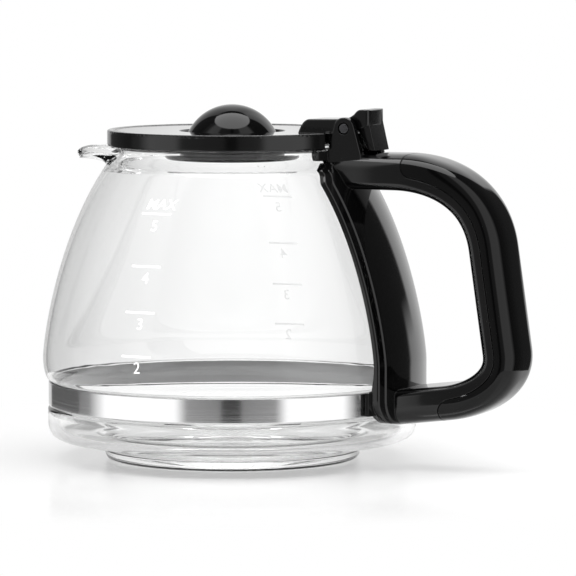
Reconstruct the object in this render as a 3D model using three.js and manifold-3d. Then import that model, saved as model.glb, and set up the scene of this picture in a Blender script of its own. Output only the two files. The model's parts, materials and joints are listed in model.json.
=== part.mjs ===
// Glass coffee carafe with a hinged lid and a handle clamped on by a steel band.
// Millimetres, +Z up. The origin is the centre of the foot, +X points to the handle, -X to the spout.
import * as THREE from "three";
import { mergeVertices } from "three/addons/utils/BufferGeometryUtils.js";
import Module from "manifold-3d";

const wasm = await Module();
wasm.setup();

// Clearances between neighbouring pieces.
const SEAT_GAP = 0.3; // pieces that rest on or clip to each other
const GLASS_GAP = 0.4; // handle to glass and to band
const BORE_GAP = 0.35; // round the hinge pin and the screws

// Facets on a full turn.
const ROUND = 48;
const SMALL_ROUND = 12;

// Glass jug, from the foot up.
const FOOT_RADIUS = 42;
const FOOT_HEIGHT = 6;
const FOOT_EDGE = 2.4; // rounding of the foot where it stands
const BELLY_RADIUS = 62.3;
const BASE_INSET = 1.6; // base wall inside the belly
const BASE_ROUND = 6; // rounding of the lower edge of the body
const WALL_HEIGHT = 62.4; // belly to shoulder
const WALL_LOW_PULL = 6; // how long the wall stays upright above the belly
const WALL_TOP_PULL_R = 15.6; // slope of the wall where it meets the shoulder
const WALL_TOP_PULL_Z = 23.2;
const SHOULDER_WIDTH = 5; // shoulder outside the neck
const SHOULDER_HEIGHT = 3.2; // shoulder to neck crease
const NECK_RADIUS = 37;
const NECK_HEIGHT = 5.7; // crease to rim
const RIM_BEAD = 1; // bead outside the neck
const GLASS_WALL = 2.2;
const BASE_WALL = 3;

// Spout, drawn out of the neck.
const SPOUT_REACH = 18.4; // beyond the rim
const SPOUT_DIP = 2; // sides of the spout below the rim, clear of the lid
const SPOUT_TIP_DIP = 2.5; // tip below the sides
const SPOUT_DEPTH = 9.2; // height of the beak on the neck
const SPOUT_HALF_DEG = 28;
const SPOUT_TIP_HALF_DEG = 14;
const SPOUT_WALL_LIFT = 1.7; // keeps the floor of the beak as thick as the wall
const SPOUT_CROWDING = 0.45; // how far the facets of the jug crowd towards the spout

// Clamp band.
const BAND_Z = 17.8; // lower edge
const BAND_HEIGHT = 7.7;
const BAND_THICKNESS = 0.6;
const BAND_INSET = 1.8; // band face inside the belly
const BELLY_RISE = 7.7; // belly above the band
const TAB_HALF_GAP = 5; // turned-out ends from the middle plane
const TAB_HEIGHT = 4.6;
const TAB_LENGTH = 5.4; // from the band face to the hooks
const HOOK_LENGTH = 2.6;
const YOKE_DEPTH = 2.4;

// Screws.
const SCREW_RADIUS = 1.5;
const SCREW_HEAD_RADIUS = 3;
const SCREW_HEAD_HEIGHT = 2.2;
const ANCHOR_WALL = 2.4; // wall in the lower arm that the band screw pulls on

// Handle loop: a middle line with a section across it.
const LOW_ARM_DROP = 1.9; // middle of the lower arm below the middle of the band
const TOP_ARM_DROP = 2.8; // middle of the upper arm below the neck crease
const TOP_ARM_LENGTH = 25; // straight part, from the neck
const GRIP_TOP_ROOM = 31.2; // middle line of the grip outside the belly, upper end
const GRIP_LOW_ROOM = 36.1; // lower end
const GRIP_TOP_DROP = 24; // straight grip starts below the upper arm
const GRIP_LOW_RISE = 19.2; // and ends above the lower arm
const LOW_ARM_LENGTH = 17.2; // straight part, from the belly
const LOW_ARM_LIFT = 2.3; // outer end of the lower arm above its root
const TOP_BEND_PULL = 16.2; // roundness of the two bends
const LOW_BEND_PULL = 9.9;
const HANDLE_INNER = 5.8; // inner face from the middle line
const HANDLE_OUTER = 5.8; // crest of the back from the middle line
const STRAP_DEPTH = 4.7;
const NECK_HALF_WIDTH = 10.4;
const ARM_HALF_WIDTH = 12;
const GRIP_HALF_WIDTH = 10.4;
const STRAP_CORNER = 2.4;
const BACK_SQUARENESS = 3.2; // exponent of the rounded back

// Cover on the back of the grip.
const COVER_WALL = 2.2;
const COVER_TOP_SEAM = 28; // along the middle line from the neck
const COVER_LOW_SEAM = 17; // along the middle line from the belly
const COVER_CORNER = 4;
const COVER_SCREW_INSET = 30; // screws from the two seams
const BOSS_RADIUS = 3.1;
const COVER_SCREW_GRIP = 5; // thread length in the boss

// Shield of the frame against the glass.
const SHIELD_THICKNESS = 1.9;
const SHIELD_FLANGE = 1; // thinner border
const SHIELD_FLANGE_WIDTH = 3.2;
const SHIELD_TOP_HALF = 18.8;
const SHIELD_LOW_HALF = 19.5;
const SHIELD_DROP = 2.7; // lower edge below the band
const SHIELD_CORNER = 8;
const SHIELD_SHOULDER = 1.9; // the border draws in at the shoulder of the glass
const SHIELD_TOP_CUT = 7.2; // and runs into the upper arm
const CLAW_HALF = 21; // claws over the band beside the shield
const CLAW_DEPTH = 1.4;

// Lid.
const LID_CLEARANCE = 1.6; // skirt outside the rim
const SKIRT_WALL = 1.4;
const SKIRT_DROP = 1.7; // skirt below the rim
const LID_PLATE = 1.5;
const LID_RIM_HEIGHT = 3.3; // edge above the glass rim
const LID_RIM_WIDTH = 1.9;
const PLUG_RADIUS = 34.2; // locating ring inside the mouth
const PLUG_WALL = 1.2;
const PLUG_DROP = 1.3;
const COLLAR_RADIUS = 15.6; // drain collar under the plate
const COLLAR_WALL = 1.4;
const COLLAR_DROP = 6.2;
const COLLAR_GROOVE = 0.5; // snap groove in the collar

// Hinge and thumb lever, from the pin.
const PIN_RADIUS = 1.6;
const PIN_OFFSET = 3.4; // pin outside the lid edge
const PIN_RISE = 1.5; // pin above the lid edge
const KNUCKLE_RADIUS = 3.4;
const LID_ARM_HALF = 6.2;
const LID_ARM_REACH = 18.3;
const LEVER_HEIGHT = 6.1;
const LEVER_BACK = 7.6;
const LEVER_ROUND = 4; // upright corners of the head
const LEVER_STEM_INSET = 0.5; // stem inside the head
const LEVER_STEM_BACK = 9.4;
const LEVER_STEM_DROP = 7.2;
const EAR_GAP = 1; // beside the knuckle
const EAR_THICKNESS = 2.7;
const EAR_RADIUS = 3.6;
const EAR_FOOT_FRONT = 5.9;
const EAR_FOOT_BACK = 6.1;
const EAR_TAPER = 8.3; // height of the straight sides below the pin
const EAR_FOOT_DROP = 11.5;
const NECK_HOOK_HALF = 13.4;
const NECK_HOOK_HEIGHT = 3;
const NECK_HOOK_DEPTH = 2.8;

// Dome on the lid and dish under it.
const DOME_RADIUS = 14.6;
const DOME_HEIGHT = 9.4;
const DOME_WALL = 1.8;
const DOME_PORT = 0.6; // slit under the dome
const DOME_LEG_WIDTH = 5;
const DOME_LEG_DEPTH = 1.7;
const DISH_RADIUS = 22;
const DISH_WALL = 1.3;
const DISH_RIM_HEIGHT = 2.6;
const DISH_HOLE_RADIUS = 2.1;
const DISH_HOLES = 6;

// Levels and radii that follow from the sizes above.
const bandTop = BAND_Z + BAND_HEIGHT;
const bandMiddle = BAND_Z + BAND_HEIGHT / 2;
const bandRadius = BELLY_RADIUS - BAND_INSET;
const grooveRadius = bandRadius - BAND_THICKNESS - SEAT_GAP;
const baseRadius = BELLY_RADIUS - BASE_INSET;
const bellyZ = bandTop + BELLY_RISE;
const shoulderZ = bellyZ + WALL_HEIGHT;
const shoulderRadius = NECK_RADIUS + SHOULDER_WIDTH;
const neckZ = shoulderZ + SHOULDER_HEIGHT;
const rimZ = neckZ + NECK_HEIGHT;
const rimRadius = NECK_RADIUS + RIM_BEAD;
const skirtInner = rimRadius + LID_CLEARANCE;
const lidRadius = skirtInner + SKIRT_WALL;
const plateBottom = rimZ + SEAT_GAP;
const plateTop = plateBottom + LID_PLATE;
const lidTop = plateBottom + LID_RIM_HEIGHT;
const collarInner = COLLAR_RADIUS - COLLAR_WALL;
const collarBottom = plateBottom - COLLAR_DROP;
const pinX = lidRadius + PIN_OFFSET;
const pinZ = lidTop + PIN_RISE;
const pinBore = PIN_RADIUS + BORE_GAP;
const earInner = LID_ARM_HALF + EAR_GAP;
const earOuter = earInner + EAR_THICKNESS;
const pocketRadius = Math.hypot(LEVER_STEM_BACK, LEVER_STEM_DROP) + EAR_GAP;
const partingN = STRAP_DEPTH - HANDLE_INNER;
const degrees = Math.PI / 180;

const glassMaterial = new THREE.MeshStandardMaterial({ color: 0xdde6e8, roughness: 0.04, metalness: 0 });
const steelMaterial = new THREE.MeshStandardMaterial({ color: 0xc8c9cb, roughness: 0.18, metalness: 1 });
const satinMaterial = new THREE.MeshStandardMaterial({ color: 0x141415, roughness: 0.42, metalness: 0 });
const glossMaterial = new THREE.MeshStandardMaterial({ color: 0x0a0a0b, roughness: 0.12, metalness: 0 });

/** Turns a closed geometry into a solid for cutting and joining. */
function solid(geometry) {
  const bare = new THREE.BufferGeometry();
  bare.setAttribute("position", geometry.getAttribute("position"));
  bare.setIndex(geometry.getIndex());
  const merged = mergeVertices(bare, 1e-4);
  return new wasm.Manifold(
    new wasm.Mesh({
      numProp: 3,
      vertProperties: new Float32Array(merged.getAttribute("position").array),
      triVerts: new Uint32Array(merged.getIndex().array),
    }),
  );
}

/** Turns a solid back into a geometry. */
function geometryOf(body) {
  const mesh = body.getMesh();
  const geometry = new THREE.BufferGeometry();
  geometry.setAttribute("position", new THREE.BufferAttribute(mesh.vertProperties, 3));
  geometry.setIndex(new THREE.BufferAttribute(mesh.triVerts, 1));
  return geometry;
}

/** Joins several solids into one. */
function joined(bodies) {
  return bodies.reduce((sum, body) => sum.add(body));
}

/** Cuts every tool out of a solid. */
function cut(body, tools) {
  return tools.reduce((rest, tool) => rest.subtract(tool), body);
}

function box(x0, x1, y0, y1, z0, z1) {
  const geometry = new THREE.BoxGeometry(x1 - x0, y1 - y0, z1 - z0);
  return solid(geometry.translate((x0 + x1) / 2, (y0 + y1) / 2, (z0 + z1) / 2));
}

/** A cylinder of the given length that starts at a point and runs along a direction. */
function rod(radius, start, direction, length, facets = SMALL_ROUND) {
  const geometry = new THREE.CylinderGeometry(radius, radius, length, facets);
  geometry.translate(0, length / 2, 0);
  geometry.applyQuaternion(new THREE.Quaternion().setFromUnitVectors(new THREE.Vector3(0, 1, 0), direction));
  return solid(geometry.translate(start.x, start.y, start.z));
}

/** Revolves an outline of (radius, height) points about +Z; outer faces run upwards. */
function revolve(points, facets = ROUND) {
  return new THREE.LatheGeometry(points, facets).rotateX(Math.PI / 2);
}

/** Extrudes an outline drawn in the X-Z plane between two values of Y. */
function slab(shape, y0, y1, bevel = 0) {
  const geometry = new THREE.ExtrudeGeometry(shape, {
    depth: y1 - y0 - 2 * bevel,
    bevelEnabled: bevel > 0,
    bevelThickness: bevel,
    bevelSize: bevel,
    bevelOffset: -bevel,
    bevelSegments: 1,
    curveSegments: 6,
  });
  return solid(geometry.translate(0, 0, bevel).rotateX(Math.PI / 2).translate(0, y1, 0));
}

/** Closes a body over rings that all have the same number of points. */
function loft(rings) {
  const count = rings[0].length;
  const positions = rings.flat().flatMap((point) => [point.x, point.y, point.z]);
  const index = [];
  for (let i = 0; i + 1 < rings.length; i++) {
    for (let j = 0; j < count; j++) {
      const a = i * count + j;
      const b = i * count + ((j + 1) % count);
      index.push(a, b, a + count, b, b + count, a + count);
    }
  }
  for (const last of [false, true]) {
    const ring = last ? rings[rings.length - 1] : rings[0];
    const offset = last ? (rings.length - 1) * count : 0;
    const centre = new THREE.Vector3();
    ring.forEach((point) => centre.addScaledVector(point, 1 / count));
    positions.push(centre.x, centre.y, centre.z);
    const middle = positions.length / 3 - 1;
    for (let j = 0; j < count; j++) {
      const here = offset + j;
      const next = offset + ((j + 1) % count);
      index.push(...(last ? [here, next, middle] : [next, here, middle]));
    }
  }
  const geometry = new THREE.BufferGeometry();
  geometry.setAttribute("position", new THREE.Float32BufferAttribute(positions, 3));
  geometry.setIndex(index);
  return solid(geometry);
}

function point2(r, z) {
  return new THREE.Vector2(r, z);
}

/** Points of a quarter round from one point to another, leaving along the given corner. */
function bend(from, corner, to, steps) {
  return new THREE.QuadraticBezierCurve(from, corner, to).getPoints(steps);
}

function smoothstep(low, high, value) {
  const t = THREE.MathUtils.clamp((value - low) / (high - low), 0, 1);
  return t * t * (3 - 2 * t);
}

/** A bump that is 1 in the middle and runs out smoothly at the half angle. */
function bump(angle, halfAngle) {
  return Math.abs(angle) < halfAngle ? Math.cos((Math.PI / 2) * (angle / halfAngle)) ** 2 : 0;
}

/** The side of the jug from belly to shoulder, moved inwards by a wall. */
function wallCurve(inset) {
  return new THREE.CubicBezierCurve(
    point2(BELLY_RADIUS - inset, bellyZ),
    point2(BELLY_RADIUS - inset, bellyZ + WALL_LOW_PULL),
    point2(shoulderRadius + WALL_TOP_PULL_R - inset, shoulderZ - WALL_TOP_PULL_Z - inset / 3),
    point2(shoulderRadius - inset, shoulderZ - inset / 2),
  );
}

/** Outside of the jug from the middle of the foot to the rim. */
function jugOutside() {
  const footTop = point2(FOOT_RADIUS + 0.6, FOOT_HEIGHT);
  const grooveLow = BAND_Z - SEAT_GAP;
  const grooveHigh = bandTop + SEAT_GAP;
  return [
    point2(0, 0),
    ...bend(point2(FOOT_RADIUS - FOOT_EDGE, 0), point2(FOOT_RADIUS, 0), point2(FOOT_RADIUS, FOOT_EDGE), 3),
    footTop,
    ...bend(
      point2(baseRadius - BASE_ROUND, FOOT_HEIGHT + 0.5),
      point2(baseRadius, FOOT_HEIGHT + 0.5),
      point2(baseRadius, FOOT_HEIGHT + 0.5 + BASE_ROUND),
      3,
    ),
    point2(baseRadius, grooveLow - 0.6),
    point2(grooveRadius, grooveLow),
    point2(grooveRadius, grooveHigh),
    ...new THREE.CubicBezierCurve(
      point2(grooveRadius + 1.1, grooveHigh + 0.5),
      point2(BELLY_RADIUS - 0.6, grooveHigh + 2),
      point2(BELLY_RADIUS, bellyZ - 3),
      point2(BELLY_RADIUS, bellyZ),
    ).getPoints(3).slice(0, -1),
    ...wallCurve(0).getPoints(6),
    ...bend(
      point2(shoulderRadius - 0.6, shoulderZ + 0.7),
      point2(shoulderRadius - 2.4, neckZ - 0.6),
      point2(NECK_RADIUS + 0.5, neckZ - 0.1),
      3,
    ),
    point2(NECK_RADIUS, neckZ + 0.5),
    point2(NECK_RADIUS, rimZ - 2.4),
    ...bend(point2(rimRadius, rimZ - 1.3), point2(rimRadius, rimZ), point2(rimRadius - 1.3, rimZ), 2),
  ];
}

/** Inside of the jug from the rim down to the middle of the base. */
function jugInside() {
  const neckInner = NECK_RADIUS - GLASS_WALL;
  const floorZ = FOOT_HEIGHT + GLASS_WALL + 0.6;
  const footInner = FOOT_RADIUS - GLASS_WALL;
  return [
    point2(neckInner + 0.7, rimZ - 0.2),
    point2(neckInner, rimZ - 1.4),
    point2(neckInner, neckZ - 0.3),
    point2(neckInner + 0.8, neckZ - 1.9),
    ...wallCurve(GLASS_WALL).getPoints(5).reverse(),
    point2(grooveRadius - GLASS_WALL + 0.8, bandTop + 1),
    point2(grooveRadius - GLASS_WALL, bandMiddle),
    ...bend(
      point2(grooveRadius - GLASS_WALL, BAND_Z - 1),
      point2(grooveRadius - GLASS_WALL, floorZ),
      point2(grooveRadius - GLASS_WALL - BASE_ROUND, floorZ),
      3,
    ),
    point2(FOOT_RADIUS + 1.4, floorZ - 0.6),
    ...bend(point2(footInner, BASE_WALL + 2.4), point2(footInner - 0.2, BASE_WALL), point2(footInner - 2.4, BASE_WALL), 2),
    point2(0, BASE_WALL),
  ];
}

/** The jug: both sides revolved, with the spout drawn out towards -X. */
function makeJug() {
  const outside = jugOutside();
  const outline = [...outside, ...jugInside()];
  const geometry = revolve(outline);
  const position = geometry.getAttribute("position");
  for (let i = 0; i < position.count; i++) {
    const x = position.getX(i);
    const y = position.getY(i);
    const z = position.getZ(i);
    const radius = Math.hypot(x, y);
    const evenAngle = Math.atan2(y, -x);
    const angle = evenAngle - SPOUT_CROWDING * Math.sin(evenAngle);
    const lift = i % outline.length < outside.length ? 0 : SPOUT_WALL_LIFT;
    const run = smoothstep(rimZ - SPOUT_DEPTH - lift, neckZ + 1, z - lift * 1.2);
    const sink = smoothstep(neckZ - 2.5, rimZ - 1.5, z);
    const reach = radius + SPOUT_REACH * bump(angle, SPOUT_HALF_DEG * degrees) * run;
    const sides = 1 - smoothstep(SPOUT_HALF_DEG * 0.75, SPOUT_HALF_DEG * 1.3, Math.abs(angle) / degrees);
    const dip = SPOUT_DIP * sides + SPOUT_TIP_DIP * bump(angle, SPOUT_TIP_HALF_DEG * degrees);
    position.setXYZ(i, -reach * Math.cos(angle), reach * Math.sin(angle), z - dip * sink);
  }
  return geometry;
}

/** What the handle must stay clear of: the jug with its band, grown by the gap. */
function jugEnvelope() {
  const side = jugOutside().slice(1);
  const bandLow = BAND_Z - SEAT_GAP;
  const bandHigh = bandTop + SEAT_GAP;
  const grown = side.map((point) => {
    const besideBand = point.y >= bandLow - 0.01 && point.y <= bandHigh + 0.01;
    const radius = besideBand ? Math.max(point.x, bandRadius) : point.x;
    return point2(radius + GLASS_GAP, point.y);
  });
  const outline = [point2(0, -1), point2(FOOT_RADIUS, -1), ...grown.slice(4), point2(0, rimZ + GLASS_GAP)];
  return solid(revolve(outline));
}

/** The band: an open ring whose ends turn out and hook towards each other. */
function makeBand() {
  const inner = bandRadius - BAND_THICKNESS;
  const startOut = Math.asin(TAB_HALF_GAP / bandRadius);
  const startIn = Math.asin(TAB_HALF_GAP / inner);
  const ring = new THREE.Shape();
  ring.absarc(0, 0, bandRadius, startOut, 2 * Math.PI - startOut, false);
  ring.absarc(0, 0, inner, 2 * Math.PI - startIn, startIn, true);
  const strip = new THREE.ExtrudeGeometry(ring, { depth: BAND_HEIGHT, bevelEnabled: false, curveSegments: ROUND });
  const root = Math.sqrt(inner ** 2 - (TAB_HALF_GAP + BAND_THICKNESS) ** 2) + 0.1;
  const end = bandRadius + TAB_LENGTH;
  const low = bandMiddle - TAB_HEIGHT / 2;
  const high = bandMiddle + TAB_HEIGHT / 2;
  const bodies = [solid(strip.translate(0, 0, BAND_Z))];
  for (const side of [-1, 1]) {
    const near = side * TAB_HALF_GAP;
    const far = side * (TAB_HALF_GAP + BAND_THICKNESS);
    const tip = side * (TAB_HALF_GAP - HOOK_LENGTH);
    bodies.push(box(root, end, Math.min(near, far), Math.max(near, far), low, high));
    bodies.push(box(end - BAND_THICKNESS, end, Math.min(tip, far), Math.max(tip, far), low, high));
  }
  return joined(bodies);
}

const hookFace = bandRadius + TAB_LENGTH - BAND_THICKNESS;
const yokeFront = hookFace - SEAT_GAP - YOKE_DEPTH;
const anchorFront = bandRadius + TAB_LENGTH + 1.2;
const anchorBack = anchorFront + ANCHOR_WALL;
const alongX = new THREE.Vector3(1, 0, 0);
const alongY = new THREE.Vector3(0, 1, 0);

/** The plate behind the hooks, bored for the screw. */
function makeYoke() {
  const half = TAB_HALF_GAP - SEAT_GAP;
  const height = TAB_HEIGHT / 2;
  const plate = box(yokeFront, yokeFront + YOKE_DEPTH, -half, half, bandMiddle - height, bandMiddle + height);
  const start = new THREE.Vector3(yokeFront - 1, 0, bandMiddle);
  return cut(plate, [rod(SCREW_RADIUS + BORE_GAP, start, alongX, YOKE_DEPTH + 2)]);
}

/** A pan-head screw whose head sits at a point and whose shank runs along a direction. */
function screw(seat, direction, length) {
  const radius = SCREW_HEAD_RADIUS;
  const outline = [
    point2(0, -SCREW_HEAD_HEIGHT),
    point2(radius * 0.7, -SCREW_HEAD_HEIGHT),
    point2(radius, -SCREW_HEAD_HEIGHT * 0.6),
    point2(radius, 0),
    point2(SCREW_RADIUS, 0),
    point2(SCREW_RADIUS, length - 1),
    point2(SCREW_RADIUS * 0.5, length),
    point2(0, length),
  ];
  const geometry = revolve(outline, SMALL_ROUND);
  geometry.applyQuaternion(new THREE.Quaternion().setFromUnitVectors(new THREE.Vector3(0, 0, 1), direction));
  return geometry.translate(seat.x, seat.y, seat.z);
}

// Middle line of the handle, from the neck out along the upper arm, down the grip and back to the band.
const topArmZ = neckZ - TOP_ARM_DROP;
const lowArmZ = bandMiddle - LOW_ARM_DROP;
const topBendStart = point2(NECK_RADIUS + TOP_ARM_LENGTH, topArmZ);
const gripTop = point2(BELLY_RADIUS + GRIP_TOP_ROOM, topArmZ - GRIP_TOP_DROP);
const gripLow = point2(BELLY_RADIUS + GRIP_LOW_ROOM, lowArmZ + GRIP_LOW_RISE);
const lowBendEnd = point2(BELLY_RADIUS + LOW_ARM_LENGTH, lowArmZ + LOW_ARM_LIFT);
const gripDirection = gripLow.clone().sub(gripTop).normalize();
const lowArmRoot = point2(BELLY_RADIUS - 1, lowArmZ);
const lowArmDirection = lowArmRoot.clone().sub(lowBendEnd).normalize();

const middleLine = new THREE.CurvePath();
middleLine.add(new THREE.LineCurve(point2(NECK_RADIUS, topArmZ), topBendStart));
middleLine.add(
  new THREE.CubicBezierCurve(
    topBendStart,
    point2(topBendStart.x + TOP_BEND_PULL, topArmZ),
    gripTop.clone().addScaledVector(gripDirection, -TOP_BEND_PULL),
    gripTop,
  ),
);
middleLine.add(new THREE.LineCurve(gripTop, gripLow));
middleLine.add(
  new THREE.CubicBezierCurve(
    gripLow,
    gripLow.clone().addScaledVector(gripDirection, LOW_BEND_PULL),
    lowBendEnd.clone().addScaledVector(lowArmDirection, -LOW_BEND_PULL),
    lowBendEnd,
  ),
);
middleLine.add(new THREE.LineCurve(lowBendEnd, lowArmRoot));
const loopLength = middleLine.getLength();

/** A place on the handle: a distance along the middle line, sideways Y and outwards from the line. */
function onHandle(along, sideways, outwards) {
  const u = THREE.MathUtils.clamp(along / loopLength, 0, 1);
  const place = middleLine.getPointAt(u);
  const tangent = middleLine.getTangentAt(u);
  return new THREE.Vector3(place.x - tangent.y * outwards, sideways, place.y + tangent.x * outwards);
}

/** The outward direction of the handle at a distance along the middle line. */
function outwardAt(along) {
  return onHandle(along, 0, 1).sub(onHandle(along, 0, 0)).normalize();
}

/** Half width of the handle: broadest at the two arms, narrower at the neck and along the grip. */
function handleHalfWidth(along) {
  const fromTop = smoothstep(COVER_TOP_SEAM, COVER_TOP_SEAM * 2, along);
  const fromLow = smoothstep(COVER_LOW_SEAM * 0.6, COVER_LOW_SEAM * 2.4, loopLength - along);
  const fromNeck = smoothstep(0, COVER_TOP_SEAM, along);
  const grip = ARM_HALF_WIDTH + (GRIP_HALF_WIDTH - ARM_HALF_WIDTH) * Math.min(fromTop, fromLow);
  return grip - (ARM_HALF_WIDTH - NECK_HALF_WIDTH) * (1 - fromNeck);
}

/** One ring of the handle: a flat inner face with rounded corners and a domed back. */
function handleRing(along, half, base, spring, crest, corner) {
  const ring = [];
  const turn = Math.PI / 2;
  for (let k = 0; k <= 2; k++) {
    const a = (k / 2) * turn;
    ring.push([half - corner * (1 - Math.sin(a)), base + corner * (1 - Math.cos(a))]);
  }
  for (let k = 0; k <= 10; k++) {
    const a = Math.PI * (k / 10);
    const side = Math.sign(Math.cos(a)) * Math.abs(Math.cos(a)) ** (2 / BACK_SQUARENESS);
    ring.push([half * side, spring + (crest - spring) * Math.sin(a) ** (2 / BACK_SQUARENESS)]);
  }
  for (let k = 2; k >= 0; k--) {
    const a = (k / 2) * turn;
    ring.push([-half + corner * (1 - Math.sin(a)), base + corner * (1 - Math.cos(a))]);
  }
  return ring.map(([sideways, outwards]) => onHandle(along, sideways, outwards));
}

/** Distances along the handle, closer together in the two bends. */
function stations(from, to) {
  const count = Math.round((to - from) / 5.5);
  return Array.from({ length: count + 1 }, (_, i) => from + ((to - from) * i) / count);
}

/** The whole handle as one bar, before it is parted into frame and cover. */
function handleBar() {
  return loft(
    stations(0, loopLength).map((along) =>
      handleRing(along, handleHalfWidth(along), -HANDLE_INNER, partingN, HANDLE_OUTER, STRAP_CORNER),
    ),
  );
}

const coverStart = COVER_TOP_SEAM;
const coverEnd = loopLength - COVER_LOW_SEAM;

/** The part of the bar that belongs to the cover, seen from the side, grown by a gap. */
function coverZone(gap) {
  const start = coverStart - gap;
  const end = coverEnd + gap;
  const floor = partingN - gap;
  const corner = COVER_CORNER + gap;
  const far = HANDLE_OUTER + 10;
  const path = [[start, far]];
  for (let k = 0; k <= 4; k++) {
    const a = (k / 4) * (Math.PI / 2);
    path.push([start + corner * (1 - Math.cos(a)), floor + corner * (1 - Math.sin(a))]);
  }
  const inner = stations(start + corner, end - corner).slice(1, -1);
  inner.forEach((along) => path.push([along, floor]));
  for (let k = 4; k >= 0; k--) {
    const a = (k / 4) * (Math.PI / 2);
    path.push([end - corner * (1 - Math.cos(a)), floor + corner * (1 - Math.sin(a))]);
  }
  stations(start, end).reverse().slice(0, -1).forEach((along) => path.push([along, far]));
  const shape = new THREE.Shape(
    path.map(([along, outwards]) => {
      const place = onHandle(along, 0, outwards);
      return point2(place.x, place.z);
    }),
  );
  const half = ARM_HALF_WIDTH + 5;
  return slab(shape, -half, half);
}

const coverScrewPlaces = {
  cover_screw_upper: coverStart + COVER_SCREW_INSET,
  cover_screw_lower: coverEnd - COVER_SCREW_INSET,
};
const screwSeatN = SCREW_HEAD_HEIGHT + 0.4 - HANDLE_INNER;

/** The cover: a shell with two bosses for its screws. */
function makeCover(bar) {
  const hollow = loft(
    stations(coverStart + COVER_WALL, coverEnd - COVER_WALL).map((along) => {
      const half = handleHalfWidth(along) - COVER_WALL;
      return handleRing(along, half, partingN - 2, partingN, HANDLE_OUTER - COVER_WALL, 0.4);
    }),
  );
  let shell = bar.intersect(coverZone(0)).subtract(hollow);
  for (const along of Object.values(coverScrewPlaces)) {
    const foot = onHandle(along, 0, partingN);
    const out = outwardAt(along);
    const length = HANDLE_OUTER - partingN - COVER_WALL / 2;
    shell = shell.add(rod(BOSS_RADIUS, foot, out, length));
    const bore = COVER_SCREW_GRIP + SEAT_GAP;
    shell = shell.subtract(rod(SCREW_RADIUS + BORE_GAP, foot.addScaledVector(out, -1), out, bore + 1));
  }
  return shell;
}

/** The shield that lies against the glass: a curved plate with a thinner border. */
function shieldPlate() {
  const low = BAND_Z - SHIELD_DROP;
  const high = neckZ - 0.4;
  const wall = wallCurve(0);
  const heights = wall.getPoints(10).map((point) => [point.y, point.x]);
  const levels = [
    [low, BELLY_RADIUS],
    [low + 0.3 * SHIELD_CORNER, BELLY_RADIUS],
    [low + SHIELD_CORNER, BELLY_RADIUS],
    [bandTop, BELLY_RADIUS],
    ...heights,
    [high - 1.9, shoulderRadius - 0.9],
    [high, shoulderRadius - 2.6],
  ];
  const border = 1 - SHIELD_FLANGE_WIDTH / SHIELD_LOW_HALF;
  const across = [-1, -border - 0.02, -border + 0.03, -0.4, 0, 0.4, border - 0.03, border + 0.02, 1];
  const rings = levels.map(([z, radius]) => {
    const slope = THREE.MathUtils.clamp((z - bellyZ) / WALL_HEIGHT, 0, 1);
    const full = SHIELD_LOW_HALF + (SHIELD_TOP_HALF - SHIELD_LOW_HALF) * slope;
    const intoCorner = THREE.MathUtils.clamp(1 - (z - low) / SHIELD_CORNER, 0, 1);
    const drawn = SHIELD_SHOULDER * smoothstep(shoulderZ - 4, shoulderZ, z);
    const topCut = SHIELD_TOP_CUT * THREE.MathUtils.clamp((z - shoulderZ) / (high - shoulderZ), 0, 1);
    const half = full - SHIELD_CORNER * (1 - Math.sqrt(1 - intoCorner ** 2)) - Math.max(drawn, topCut);
    const outer = across.map((u) => {
      const thick = Math.abs(u) > border ? SHIELD_FLANGE : SHIELD_THICKNESS;
      const y = u * half;
      return new THREE.Vector3(Math.sqrt((radius + GLASS_GAP + thick) ** 2 - y ** 2), y, z);
    });
    const inner = across.map((u) => {
      const y = u * half;
      return new THREE.Vector3(Math.sqrt((radius - 4) ** 2 - y ** 2), y, z);
    });
    return [...outer, ...inner.reverse()];
  });
  return loft(rings);
}

/** Side view of a hinge ear: a round head with straight sides down to a broad foot. */
function earShape() {
  const shape = new THREE.Shape();
  const footZ = pinZ - EAR_FOOT_DROP;
  const touch = (foot) => Math.acos(EAR_RADIUS / Math.hypot(foot, EAR_TAPER)) - Math.atan2(EAR_TAPER, foot);
  shape.moveTo(pinX - EAR_FOOT_FRONT, footZ);
  shape.lineTo(pinX + EAR_FOOT_BACK, footZ);
  shape.lineTo(pinX + EAR_FOOT_BACK, pinZ - EAR_TAPER);
  shape.absarc(pinX, pinZ, EAR_RADIUS, touch(EAR_FOOT_BACK), Math.PI - touch(EAR_FOOT_FRONT), false);
  shape.lineTo(pinX - EAR_FOOT_FRONT, pinZ - EAR_TAPER);
  shape.closePath();
  return shape;
}

/** A curved block round the jug: between two radii, two values of Y and two heights. */
function ringBlock(inner, outer, y0, y1, z0, z1) {
  const middle = (inner + outer) / 2;
  const from = Math.asin(y0 / middle);
  const to = Math.asin(y1 / middle);
  const shape = new THREE.Shape();
  shape.absarc(0, 0, outer, from, to, false);
  shape.absarc(0, 0, inner, to, from, true);
  const block = new THREE.ExtrudeGeometry(shape, { depth: z1 - z0, bevelEnabled: false, curveSegments: 6 });
  return solid(block.translate(0, 0, z0));
}

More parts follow.
